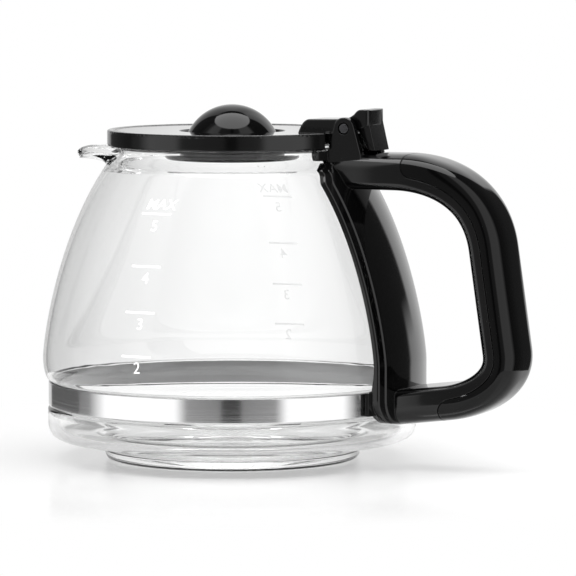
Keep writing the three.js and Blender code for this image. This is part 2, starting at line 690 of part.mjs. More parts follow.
/** The frame: shield, bar without the cover, ears and neck hooks, cut free for everything that moves or fits. */
function makeFrame(bar) {
  const hookTop = rimZ - SKIRT_DROP - 0.6;
  const hookOuter = NECK_RADIUS + GLASS_GAP + NECK_HOOK_DEPTH;
  const hooks = ringBlock(
    NECK_RADIUS - 3, hookOuter, -NECK_HOOK_HALF, NECK_HOOK_HALF, hookTop - NECK_HOOK_HEIGHT, hookTop,
  );
  const clawRoot = SHIELD_LOW_HALF * 0.75;
  const clawOuter = bandRadius + GLASS_GAP + CLAW_DEPTH;
  const claws = [[-CLAW_HALF, -clawRoot], [clawRoot, CLAW_HALF]].map(([y0, y1]) =>
    ringBlock(bandRadius - 1, clawOuter, y0, y1, BAND_Z + 0.4, bandTop + 0.2),
  );
  const ears = [-1, 1].map((side) => {
    const faces = [side * earInner, side * earOuter];
    return slab(earShape(), Math.min(...faces), Math.max(...faces), 0.4);
  });
  const body = joined([bar.subtract(coverZone(SEAT_GAP)), shieldPlate(), hooks, ...claws, ...ears]);
  const slotHalf = TAB_HALF_GAP + BAND_THICKNESS + 0.7;
  const slotHeight = TAB_HEIGHT / 2 + 0.7;
  const pinStart = new THREE.Vector3(pinX, -earOuter - 1, pinZ);
  const tools = [
    jugEnvelope(),
    rod(pocketRadius, new THREE.Vector3(pinX, -earInner, pinZ), alongY, 2 * earInner, 40),
    rod(pinBore, pinStart, alongY, 2 * earOuter + 2),
    box(bandRadius - 4, anchorFront, -slotHalf, slotHalf, bandMiddle - slotHeight, bandMiddle + slotHeight),
    rod(SCREW_RADIUS + BORE_GAP, new THREE.Vector3(anchorFront - 1, 0, bandMiddle), alongX, ANCHOR_WALL + 2),
    rod(SCREW_HEAD_RADIUS + 0.5, new THREE.Vector3(anchorBack, 0, bandMiddle), alongX, LOW_ARM_LENGTH),
  ];
  for (const along of Object.values(coverScrewPlaces)) {
    const out = outwardAt(along);
    const face = onHandle(along, 0, -HANDLE_INNER - 1);
    tools.push(rod(SCREW_RADIUS + BORE_GAP, face, out, STRAP_DEPTH + 2));
    tools.push(rod(SCREW_HEAD_RADIUS + BORE_GAP, face, out, screwSeatN + SEAT_GAP + HANDLE_INNER + 1));
  }
  return cut(body, tools);
}

/** Section of the lid: skirt, raised edge, sunken top, drain collar and locating ring. */
function lidOutline() {
  const skirtBottom = rimZ - SKIRT_DROP;
  const grooveZ = collarBottom + COLLAR_DROP * 0.45;
  const edgeInner = lidRadius - LID_RIM_WIDTH;
  const plugInner = PLUG_RADIUS - PLUG_WALL;
  return [
    point2(skirtInner, skirtBottom),
    point2(lidRadius - 0.3, skirtBottom),
    point2(lidRadius, skirtBottom + 0.4),
    ...bend(point2(lidRadius, lidTop - 0.9), point2(lidRadius, lidTop), point2(lidRadius - 0.9, lidTop), 2),
    point2(edgeInner, lidTop - 0.1),
    point2(edgeInner - 0.7, plateTop + 0.4),
    point2(edgeInner - 2, plateTop),
    point2(collarInner + 0.8, plateTop - 0.2),
    point2(collarInner, plateTop - 0.7),
    point2(collarInner, collarBottom),
    point2(COLLAR_RADIUS, collarBottom),
    point2(COLLAR_RADIUS, grooveZ - 0.7),
    point2(COLLAR_RADIUS - COLLAR_GROOVE, grooveZ - 0.5),
    point2(COLLAR_RADIUS - COLLAR_GROOVE, grooveZ + 0.5),
    point2(COLLAR_RADIUS, grooveZ + 0.7),
    point2(COLLAR_RADIUS, plateBottom - 0.1),
    point2(plugInner, plateBottom - 0.1),
    point2(plugInner, plateBottom - PLUG_DROP),
    point2(PLUG_RADIUS, plateBottom - PLUG_DROP),
    point2(PLUG_RADIUS, plateBottom),
    point2(skirtInner, plateBottom),
    point2(skirtInner, skirtBottom),
  ];
}

/** Side view of the hinge arm with the knuckle and the head of the thumb lever. */
function leverShape() {
  const shape = new THREE.Shape();
  const armFoot = plateBottom + 0.4;
  const go = (dx, dz) => [pinX + dx, pinZ + dz];
  shape.moveTo(pinX - LID_ARM_REACH, armFoot);
  shape.lineTo(pinX - LID_ARM_REACH + 0.3, plateTop + 1);
  shape.quadraticCurveTo(...go(-LID_ARM_REACH + 1.8, 2.5), ...go(-LID_ARM_REACH + 4.4, 2.7));
  shape.lineTo(...go(-2.4, 2.9));
  shape.quadraticCurveTo(...go(0.4, 3), ...go(2.2, LEVER_HEIGHT - 1.4));
  shape.quadraticCurveTo(...go(3.2, LEVER_HEIGHT), ...go(4.6, LEVER_HEIGHT));
  shape.lineTo(...go(LEVER_BACK - 0.6, LEVER_HEIGHT - 0.1));
  shape.lineTo(...go(LEVER_BACK, LEVER_HEIGHT - 0.7));
  shape.lineTo(...go(LEVER_BACK, 1.2));
  shape.lineTo(...go(KNUCKLE_RADIUS, -0.6));
  shape.absarc(pinX, pinZ, KNUCKLE_RADIUS, -0.2, -Math.PI * 0.8, true);
  shape.lineTo(...go(-KNUCKLE_RADIUS - 2.4, armFoot - pinZ));
  shape.closePath();
  return shape;
}

/** Side view of the stem that carries the lever head down into the pocket of the handle. */
function stemShape() {
  return new THREE.Shape([
    point2(pinX + 1, pinZ + 2.6),
    point2(pinX + KNUCKLE_RADIUS, pinZ - 0.6),
    point2(pinX + LEVER_STEM_BACK - 2.4, pinZ - LEVER_STEM_DROP),
    point2(pinX + LEVER_STEM_BACK, pinZ - LEVER_STEM_DROP),
    point2(pinX + LEVER_BACK - LEVER_STEM_INSET, pinZ + 2.6),
  ]);
}

/** Top view of the lever head and its arm, with rounded corners at the back. */
function leverPlan() {
  const back = pinX + LEVER_BACK;
  const half = LID_ARM_HALF;
  const shape = new THREE.Shape();
  shape.moveTo(pinX - LID_ARM_REACH - 1, -half);
  shape.lineTo(back - LEVER_ROUND, -half);
  shape.quadraticCurveTo(back - 0.3, -half, back - 0.2, -half + LEVER_ROUND);
  shape.quadraticCurveTo(back, 0, back - 0.2, half - LEVER_ROUND);
  shape.quadraticCurveTo(back - 0.3, half, back - LEVER_ROUND, half);
  shape.lineTo(pinX - LID_ARM_REACH - 1, half);
  shape.closePath();
  const depth = LEVER_HEIGHT + LEVER_STEM_DROP + 4;
  const prism = new THREE.ExtrudeGeometry(shape, { depth, bevelEnabled: false, curveSegments: 5 });
  return solid(prism.translate(0, 0, pinZ - LEVER_STEM_DROP - 2));
}

/** The lid: revolved disc with a notch at the hinge, joined to the arm with knuckle and lever. */
function makeLid() {
  const disc = solid(revolve(lidOutline()));
  const notchHalf = earOuter + 2.4;
  const notchFront = pinX - EAR_FOOT_FRONT - 0.6;
  const notch = box(notchFront, lidRadius + 1, -notchHalf, notchHalf, rimZ - SKIRT_DROP - 1, lidTop + 1);
  const head = slab(leverShape(), -LID_ARM_HALF, LID_ARM_HALF, 0.4).intersect(leverPlan());
  const stemHalf = LID_ARM_HALF - LEVER_STEM_INSET;
  const arm = head.add(slab(stemShape(), -stemHalf, stemHalf));
  const bore = rod(pinBore, new THREE.Vector3(pinX, -LID_ARM_HALF - 1, pinZ), alongY, 2 * LID_ARM_HALF + 2);
  return disc.subtract(notch).add(arm).subtract(bore);
}

/** The dome: a thin cap whose four legs stand on the lid and reach down inside the collar. */
function makeDome() {
  const edgeZ = plateTop + DOME_PORT;
  const sphere = (DOME_RADIUS ** 2 + DOME_HEIGHT ** 2) / (2 * DOME_HEIGHT);
  const centreZ = edgeZ + DOME_HEIGHT - sphere;
  const outerEdge = Math.asin(DOME_RADIUS / sphere);
  const innerEdge = Math.acos((edgeZ - centreZ) / (sphere - DOME_WALL));
  const outline = [];
  for (let k = 0; k <= 6; k++) {
    const a = innerEdge * (k / 6);
    outline.push(point2((sphere - DOME_WALL) * Math.sin(a), centreZ + (sphere - DOME_WALL) * Math.cos(a)));
  }
  for (let k = 6; k >= 0; k--) {
    const a = outerEdge * (k / 6);
    outline.push(point2(sphere * Math.sin(a), centreZ + sphere * Math.cos(a)));
  }
  const legOuter = collarInner - SEAT_GAP;
  const legInner = legOuter - DOME_LEG_DEPTH;
  const footOuter = DOME_RADIUS - 0.1;
  const half = DOME_LEG_WIDTH / 2;
  const bodies = [solid(revolve(outline, 32))];
  for (let k = 0; k < 4; k++) {
    const across = Math.sqrt(legOuter ** 2 - half ** 2);
    const leg = box(across - DOME_LEG_DEPTH, across, -half, half, collarBottom + 0.4, edgeZ + 1.2);
    const pad = box(legInner - 0.4, footOuter - 0.4, -half, half, plateTop + SEAT_GAP, edgeZ + 0.4);
    bodies.push(leg.add(pad).rotate([0, 0, 45 + 90 * k]));
  }
  return joined(bodies);
}

/** The dish: a ring that snaps round the collar, a floor with drain holes and a flared rim. */
function makeDish() {
  const ringInner = COLLAR_RADIUS + SEAT_GAP;
  const ringOuter = ringInner + DISH_WALL;
  const floorTop = collarBottom - SEAT_GAP;
  const floorBottom = floorTop - DISH_WALL;
  const ringTop = plateBottom - 0.1 - SEAT_GAP;
  const grooveZ = collarBottom + COLLAR_DROP * 0.45;
  const bead = COLLAR_GROOVE - 0.05;
  const outline = [
    point2(0, floorBottom),
    ...bend(
      point2(DISH_RADIUS - 3, floorBottom),
      point2(DISH_RADIUS - 0.2, floorBottom),
      point2(DISH_RADIUS, floorBottom + DISH_RIM_HEIGHT * 0.7),
      4,
    ),
    point2(DISH_RADIUS, floorBottom + DISH_RIM_HEIGHT),
    point2(DISH_RADIUS - DISH_WALL, floorBottom + DISH_RIM_HEIGHT),
    point2(DISH_RADIUS - 3.4, floorTop),
    point2(ringOuter, floorTop),
    point2(ringOuter, ringTop),
    point2(ringInner, ringTop),
    point2(ringInner, grooveZ + 0.3),
    point2(ringInner - bead, grooveZ + 0.1),
    point2(ringInner - bead, grooveZ - 0.1),
    point2(ringInner, grooveZ - 0.3),
    point2(ringInner, floorTop),
    point2(0, floorTop),
  ];
  const holes = [];
  for (let k = 0; k < DISH_HOLES; k++) {
    const a = (2 * Math.PI * k) / DISH_HOLES;
    const start = new THREE.Vector3(9 * Math.cos(a), 9 * Math.sin(a), floorBottom - 1);
    holes.push(rod(DISH_HOLE_RADIUS, start, new THREE.Vector3(0, 0, 1), DISH_WALL + 2, 12));
  }
  return cut(solid(revolve(outline, 32)), holes);
}

const carafe = new THREE.Group();
carafe.name = "coffee_carafe";

function addPiece(name, geometry, material) {
  const mesh = new THREE.Mesh(geometry, material.clone());
  mesh.name = name;
  carafe.add(mesh);
}

const bar = handleBar();
addPiece("glass_jug", makeJug(), glassMaterial);
addPiece("clamp_band", geometryOf(makeBand()), steelMaterial);
addPiece("band_yoke", geometryOf(makeYoke()), steelMaterial);
const bandScrewSeat = new THREE.Vector3(anchorBack + SEAT_GAP, 0, bandMiddle);
const bandScrewLength = anchorBack - yokeFront + SEAT_GAP + 0.6;
addPiece("band_screw", screw(bandScrewSeat, alongX.clone().negate(), bandScrewLength), steelMaterial);
addPiece("handle_frame", geometryOf(makeFrame(bar)), satinMaterial);
addPiece("handle_cover", geometryOf(makeCover(bar)), glossMaterial);
for (const [name, along] of Object.entries(coverScrewPlaces)) {
  const length = partingN - screwSeatN + COVER_SCREW_GRIP - SEAT_GAP;
  addPiece(name, screw(onHandle(along, 0, screwSeatN), outwardAt(along), length), steelMaterial);
}
const pinLength = 2 * earOuter;
addPiece("hinge_pin", geometryOf(rod(PIN_RADIUS, new THREE.Vector3(pinX, -earOuter, pinZ), alongY, pinLength)), steelMaterial);
addPiece("lid", geometryOf(makeLid()), satinMaterial);
addPiece("lid_dome", geometryOf(makeDome()), glossMaterial);
addPiece("drip_dish", geometryOf(makeDish()), satinMaterial);

export default carafe;
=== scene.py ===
"""Looks of a glass coffee carafe: blown jug with a drawn spout, clamp band, loop handle in two mouldings, hinged lid.

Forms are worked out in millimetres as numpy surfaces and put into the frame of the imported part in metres:
+Z up, +X towards the handle, -X towards the spout, the foot standing on z = 0.
"""
import json
import logging
import math
from collections.abc import Sequence
from dataclasses import dataclass, field
from enum import Enum
from functools import cached_property

import bmesh
import bpy
import numpy as np
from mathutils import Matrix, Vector

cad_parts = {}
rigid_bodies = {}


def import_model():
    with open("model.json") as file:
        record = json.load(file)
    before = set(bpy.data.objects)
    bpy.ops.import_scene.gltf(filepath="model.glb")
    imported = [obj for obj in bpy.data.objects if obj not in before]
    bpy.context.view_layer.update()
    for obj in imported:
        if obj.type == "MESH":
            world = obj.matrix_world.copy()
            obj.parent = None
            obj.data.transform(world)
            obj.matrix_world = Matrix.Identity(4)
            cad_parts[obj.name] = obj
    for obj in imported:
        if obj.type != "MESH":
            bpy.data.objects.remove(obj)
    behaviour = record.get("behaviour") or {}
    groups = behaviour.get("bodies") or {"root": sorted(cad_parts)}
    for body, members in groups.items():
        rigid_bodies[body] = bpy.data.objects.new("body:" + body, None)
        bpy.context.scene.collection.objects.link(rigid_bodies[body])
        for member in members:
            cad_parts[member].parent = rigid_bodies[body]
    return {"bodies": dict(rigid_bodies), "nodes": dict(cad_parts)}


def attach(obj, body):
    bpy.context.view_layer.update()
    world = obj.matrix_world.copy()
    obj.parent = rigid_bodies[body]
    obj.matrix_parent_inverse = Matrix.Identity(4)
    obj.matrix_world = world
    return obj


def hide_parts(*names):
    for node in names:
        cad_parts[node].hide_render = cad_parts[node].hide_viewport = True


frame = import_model()

Array = np.ndarray
Pair = tuple[float, float]
Colour = tuple[float, float, float, float]
Socket = bpy.types.NodeSocket

LOG = logging.getLogger("carafe")
MM = 0.001
HINGE: Pair = (44.4, 109.6)
ALONG_X, ALONG_Y, ALONG_Z = np.eye(3)
WHITE: Colour = (1.0, 1.0, 1.0, 1.0)
NOISE_RANGE: Pair = (0.3, 0.7)
CORNER_SHARE = 0.46
SAME_POINT = 2e-6
NO_LENGTH = 1e-7


class Body(Enum):
    """Bodies of the part that pieces ride on."""

    JUG = "jug"
    LID = "lid_assembly"


class Slot(Enum):
    """Material slots of the record."""

    GLASS = "clear_glass"
    STEEL = "polished_steel"
    SATIN = "satin_black"
    GLOSS = "gloss_black"
    PRINT = "white_print"


class Join(Enum):
    """Ways of combining two closed bodies."""

    ADD = "UNION"
    CUT = "DIFFERENCE"
    KEEP = "INTERSECT"


def smoothstep(low: float, high: float, value: Array | float) -> Array:
    """Ease from 0 at low to 1 at high: t squared times (3 - 2t), with t clamped to 0..1.

    Args:
        low: Value where the ease starts.
        high: Value where it ends.
        value: Values to ease.

    Returns:
        Weights from 0 to 1.
    """
    t = np.clip((np.asarray(value, float) - low) / (high - low), 0.0, 1.0)
    return t * t * (3.0 - 2.0 * t)


def bump(angle: Array, half: float) -> Array:
    """Squared cosine that is 1 at angle 0 and runs out to 0 at the half angle.

    Args:
        angle: Angles in radians.
        half: Half angle of the bump.

    Returns:
        Weights from 0 to 1.
    """
    return np.where(np.abs(angle) < half, np.cos(0.5 * np.pi * angle / half) ** 2, 0.0)


def bezier(points: Sequence[Pair], count: int) -> Array:
    """Bernstein blend of two to four control points at even parameters.

    Args:
        points: Control points.
        count: Number of points on the curve.

    Returns:
        Points on the curve, one row each.
    """
    control = np.asarray(points, float)
    degree = len(control) - 1
    k = np.arange(degree + 1)
    t = np.linspace(0.0, 1.0, count)[:, None]
    binomial = np.array([math.comb(degree, int(i)) for i in k])
    return (binomial * t**k * (1.0 - t) ** (degree - k)) @ control


def softened(points: Array | Sequence[Pair], cut: float | Sequence[float], steps: int = 4,
             closed: bool = False) -> Array:
    """Corners of a line replaced by small quadratic arcs that leave the edges a cut length before the corner.

    Args:
        points: Corners of the line.
        cut: Length taken off each edge at a corner, one value or one per corner.
        steps: Points on each arc.
        closed: Whether the line closes on itself.

    Returns:
        The softened line, one row per point.
    """
    p = np.asarray(points, float)
    before = np.roll(p, 1, axis=0) - p
    after = np.roll(p, -1, axis=0) - p
    length_before = np.maximum(np.linalg.norm(before, axis=1, keepdims=True), 1e-9)
    length_after = np.maximum(np.linalg.norm(after, axis=1, keepdims=True), 1e-9)
    wanted = np.broadcast_to(np.asarray(cut, float), len(p))[:, None]
    reach = np.minimum(wanted, CORNER_SHARE * np.minimum(length_before, length_after))
    start = (p + before / length_before * reach)[:, None]
    end = (p + after / length_after * reach)[:, None]
    t = np.linspace(0.0, 1.0, steps)[None, :, None]
    arcs = (1 - t) ** 2 * start + 2 * t * (1 - t) * p[:, None] + t**2 * end
    if closed:
        return arcs.reshape(-1, p.shape[1])
    return np.vstack([p[:1], arcs[1:-1].reshape(-1, p.shape[1]), p[-1:]])


def resampled(line: Array, count: int, crowd: float = 2.5) -> Array:
    """A line walked in even steps of its length plus crowd millimetres for every radian it turns.

    Args:
        line: Points of the line.
        count: Points wanted.
        crowd: How strongly points gather where the line turns.

    Returns:
        The resampled line.
    """
    step = np.diff(line, axis=0)
    length = np.linalg.norm(step, axis=1)
    keep = np.concatenate([[True], length > 1e-6])
    line = line[keep]
    step = np.diff(line, axis=0)
    length = np.linalg.norm(step, axis=1)
    heading = np.unwrap(np.arctan2(step[:, 1], step[:, 0]))
    turn = np.zeros(len(length))
    turn[1:] += 0.5 * np.abs(np.diff(heading))
    turn[:-1] += 0.5 * np.abs(np.diff(heading))
    walked = np.concatenate([[0.0], np.cumsum(length + crowd * turn)])
    where = np.linspace(0.0, walked[-1], count)
    return np.column_stack([np.interp(where, walked, line[:, 0]), np.interp(where, walked, line[:, 1])])


def unit(vectors: Array) -> Array:
    """Vectors of length 1, along the last axis."""
    return vectors / np.maximum(np.linalg.norm(vectors, axis=-1, keepdims=True), 1e-9)


def grid_faces(rows: int, cols: int, close_cols: bool = False) -> Array:
    """Quads between neighbouring rows and columns of a grid of points.

    Args:
        rows: Rows of the grid.
        cols: Columns of the grid.
        close_cols: Whether the last column joins the first.

    Returns:
        Corner numbers, four per face.
    """
    i = np.arange(rows - 1)[:, None]
    j = np.arange(cols if close_cols else cols - 1)[None, :]
    nxt = (j + 1) % cols
    quads = np.stack([i * cols + j, i * cols + nxt, (i + 1) * cols + nxt, (i + 1) * cols + j], axis=-1)
    return quads.reshape(-1, 4)


@dataclass
class Skin:
    """Points in millimetres with faces as one run of corner numbers and the size of each face."""

    points: Array
    loops: Array
    sizes: Array

    @staticmethod
    def of(points: Array, *blocks: Array) -> "Skin":
        """A skin from points and blocks of faces with the same number of corners.

        Args:
            points: Points, one row each.
            blocks: Faces, one row of corner numbers each.

        Returns:
            The skin, turned so that its faces point outwards.
        """
        loops = np.concatenate([block.ravel() for block in blocks])
        sizes = np.concatenate([np.full(len(block), block.shape[1]) for block in blocks])
        skin = Skin(points.reshape(-1, 3), loops, sizes)
        return skin if skin.volume() >= 0.0 else Skin.of(points, *[block[:, ::-1] for block in blocks])

    def volume(self) -> float:
        """Signed volume: a sixth of the triple products over the triangle fans of all faces.

        Returns:
            Cubic millimetres, below 0 where the faces point inwards.
        """
        starts = np.concatenate([[0], np.cumsum(self.sizes)[:-1]])
        total = 0.0
        for size in np.unique(self.sizes):
            corner = self.points[self.loops[starts[self.sizes == size][:, None] + np.arange(size)]]
            fan = np.cross(corner[:, 1:-1], corner[:, 2:])
            total += float(np.einsum("ik,ijk->", corner[:, 0], fan)) / 6.0
        return total

    @staticmethod
    def merged(skins: Sequence["Skin"]) -> "Skin":
        """All skins as one, with corner numbers shifted past the earlier points.

        Args:
            skins: Skins to merge.

        Returns:
            The merged skin.
        """
        shift = np.concatenate([[0], np.cumsum([len(skin.points) for skin in skins])[:-1]])
        loops = np.concatenate([skin.loops + by for skin, by in zip(skins, shift)])
        return Skin(np.vstack([skin.points for skin in skins]), loops, np.concatenate([s.sizes for s in skins]))

    def to_object(self, name: str) -> bpy.types.Object:
        """Puts the skin into a new mesh object at the origin, in metres, with doubles merged.

        Args:
            name: Name of the object.

        Returns:
            The linked object.
        """
        mesh = bpy.data.meshes.new(name)
        mesh.vertices.add(len(self.points))
        mesh.vertices.foreach_set("co", (self.points * MM).astype(np.float32).ravel())
        mesh.loops.add(len(self.loops))
        mesh.loops.foreach_set("vertex_index", self.loops.astype(np.int32))
        mesh.polygons.add(len(self.sizes))
        starts = np.concatenate([[0], np.cumsum(self.sizes)[:-1]])
        mesh.polygons.foreach_set("loop_start", starts.astype(np.int32))
        mesh.update(calc_edges=True)
        merger = bmesh.new()
        merger.from_mesh(mesh)
        bmesh.ops.remove_doubles(merger, verts=merger.verts, dist=SAME_POINT)
        bmesh.ops.dissolve_degenerate(merger, edges=merger.edges, dist=NO_LENGTH)
        merger.to_mesh(mesh)
        merger.free()
        mesh.validate()
        obj = bpy.data.objects.new(name, mesh)
        bpy.context.scene.collection.objects.link(obj)
        return obj


def revolved(outline: Array, columns: int = 128) -> Skin:
    """A section of (radius, height) turned about +Z: x = r cos a, y = r sin a, z = height.

    Args:
        outline: Section; its ends lie on the axis, or it closes on itself.
        columns: Columns on the full turn.

    Returns:
        The closed skin.
    """
    angle = np.linspace(0.0, 2.0 * np.pi, columns, endpoint=False)[None, :]
    radius, height = outline[:, 0:1], outline[:, 1:2]
    points = np.stack([radius * np.cos(angle), radius * np.sin(angle), height + 0.0 * angle], axis=-1)
    return Skin.of(points, grid_faces(len(outline), columns, close_cols=True))


def tube(rings: Array) -> Skin:
    """A closed body over rings of points, with a flat face on the first and last ring.

    Args:
        rings: Points as (ring, point on ring, xyz).

    Returns:
        The closed skin.
    """
    rows, cols = rings.shape[:2]
    first = np.arange(cols)[None, ::-1]
    last = (rows - 1) * cols + np.arange(cols)[None, :]
    return Skin.of(rings, grid_faces(rows, cols, close_cols=True), first, last)


def open_skin(points: Array, turned: bool = False) -> Skin:
    """A skin without an inside over rows of points whose last column joins the first.

    Args:
        points: Points as (row, column, xyz).
        turned: Whether its faces look the other way.

    Returns:
        The open skin.
    """
    faces = grid_faces(*points.shape[:2], close_cols=True)
    return Skin(points.reshape(-1, 3), (faces[:, ::-1] if turned else faces).ravel(), np.full(len(faces), 4))


def pillow(outline: Array, y0: float, y1: float, edge: float, steps: int = 5) -> Skin:
    """An outline in X-Z carried from y0 to y1, drawn in along its normals by a quarter round at both faces.

    Args:
        outline: Closed outline of (x, z) points.
        y0: Near face.
        y1: Far face.
        edge: Radius of the rounded edges.
        steps: Points on each rounded edge.

    Returns:
        The closed skin.
    """
    ahead = np.roll(outline, -1, axis=0) - outline
    behind = outline - np.roll(outline, 1, axis=0)
    heading = unit(unit(ahead) + unit(behind))
    area = np.sum(outline[:, 0] * np.roll(outline[:, 1], -1) - np.roll(outline[:, 0], -1) * outline[:, 1])
    outward = np.column_stack([heading[:, 1], -heading[:, 0]]) * np.sign(area)
    a = np.linspace(0.0, 0.5 * np.pi, steps)
    inset = np.concatenate([edge * (1 - np.sin(a)), edge * (1 - np.cos(a))])[:, None, None]
    across = np.concatenate([y0 + edge * (1 - np.cos(a)), y1 - edge * (1 - np.sin(a))])[:, None]
    flat = outline[None] - inset * outward[None]
    rings = np.stack([flat[..., 0], across + 0.0 * flat[..., 0], flat[..., 1]], axis=-1)
    return tube(rings)


def upright(outline: Array, z0: float, z1: float) -> Skin:
    """A closed outline in X-Y carried straight up from z0 to z1.

    Args:
        outline: Closed outline of (x, y) points.
        z0: Lower face.
        z1: Upper face.

    Returns:
        The closed skin.
    """
    flat = np.repeat(outline[None], 2, axis=0)
    height = np.array([z0, z1])[:, None] + 0.0 * flat[..., 0]
    return tube(np.stack([flat[..., 0], flat[..., 1], height], axis=-1))


def block(x0: float, x1: float, y0: float, y1: float, z0: float, z1: float, edge: float = 0.0) -> Skin:
    """A box between two corners, its edges rounded by an edge radius.

    Args:
        x0: Least x.
        x1: Greatest x.
        y0: Least y.
        y1: Greatest y.
        z0: Least z.
        z1: Greatest z.
        edge: Radius of the rounded edges, 0 for sharp ones.

    Returns:
        The closed skin.
    """
    corners = np.array([(x0, z0), (x1, z0), (x1, z1), (x0, z1)])
    outline = softened(corners, edge, 4, closed=True) if edge else corners
    return pillow(outline, y0, y1, edge) if edge else tube(
        np.stack([np.column_stack([outline[:, 0], np.full(len(outline), y), outline[:, 1]]) for y in (y0, y1)]))


def rod(radius: float, start: Array, direction: Array, length: float, edge: float = 0.0, columns: int = 48) -> Skin:
    """A round bar: circles about an axis, drawn in by a quarter round of the edge radius at both ends.

    Args:
        radius: Radius of the bar.
        start: Middle of its first end.
        direction: Unit direction it runs along.
        length: Its length.
        edge: Rounding of both ends.
        columns: Points on each circle.

    Returns:
        The closed skin.
    """
    axis = np.asarray(direction, float)
    aside = np.cross(axis, ALONG_Z if abs(axis[2]) < 0.9 else ALONG_X)
    aside = aside / np.linalg.norm(aside)
    other = np.cross(axis, aside)
    a = np.linspace(0.0, 0.5 * np.pi, 5 if edge else 1)
    along = np.concatenate([edge * (1 - np.cos(a)), length - edge * (1 - np.sin(a))])
    wide = np.concatenate([radius - edge * (1 - np.sin(a)), radius - edge * (1 - np.cos(a))])
    if not edge:
        along, wide = np.array([0.0, length]), np.array([radius, radius])
    turn = np.linspace(0.0, 2.0 * np.pi, columns, endpoint=False)
    circle = np.cos(turn)[:, None] * aside + np.sin(turn)[:, None] * other
    rings = np.asarray(start, float) + along[:, None, None] * axis + wide[:, None, None] * circle[None]
    return tube(rings)


def settle(obj: bpy.types.Object) -> bpy.types.Object:
    """Replaces an object's mesh by the result of its modifiers.

    Args:
        obj: Object to settle.

    Returns:
        The object.
    """
    bpy.context.view_layer.update()
    settled = bpy.data.meshes.new_from_object(obj.evaluated_get(bpy.context.evaluated_depsgraph_get()))
    rough = obj.data
    obj.modifiers.clear()
    obj.data = settled
    bpy.data.meshes.remove(rough)
    return obj


def combine(body: bpy.types.Object, tools: Sequence[Skin | bpy.types.Object], how: Join) -> bpy.types.Object:
    """Adds, cuts or keeps closed skins on a body, one after the other.

    Args:
        body: Object that is changed.
        tools: Skins or objects to combine with it; the objects are used up.
        how: Way of combining.

    Returns:
        The body.

    Raises:
        RuntimeError: If nothing is left of the body.
    """
    helpers = [tool.to_object(f"{body.name}_tool") if isinstance(tool, Skin) else tool for tool in tools]
    for helper in helpers:
        step = body.modifiers.new(how.name, "BOOLEAN")
        step.operation = how.value
        step.solver = "MANIFOLD"
        step.object = helper
    settle(body)
    for helper in helpers:
        mesh = helper.data
        bpy.data.objects.remove(helper)
        bpy.data.meshes.remove(mesh)
    if not body.data.polygons:
        raise RuntimeError(f"nothing is left of {body.name}")
    return body


def finished(obj: bpy.types.Object, finish: bpy.types.Material, body: Body, slot: Slot, *nodes: str,
             crease: float = 32.0, flats: bool = True) -> bpy.types.Object:
    """Smooths a piece up to a crease angle, gives it its finish and ties it to the part.

    Args:
        obj: Finished mesh object.
        finish: Its material.
        body: Body it rides on.
        slot: Record slot of its material; not used.
        nodes: CAD nodes it stands for.
        crease: Edges sharper than this many degrees stay sharp.
        flats: Whether large faces keep their own normals and leave the turn to the small faces of rounded edges.

    Returns:
        The piece.
    """
    obj.data.shade_smooth()
    obj.data.set_sharp_from_angle(angle=math.radians(crease))
    if flats:
        faces = obj.modifiers.new("flats", "WEIGHTED_NORMAL")
        faces.keep_sharp = True
    obj.data.materials.clear()
    obj.data.materials.append(finish)
    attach(obj, body.value)
    if nodes:
        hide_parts(*nodes)
    LOG.info("%s: %d faces, rides on %s, stands for %s", obj.name, len(obj.data.polygons), body.value, list(nodes))
    return obj


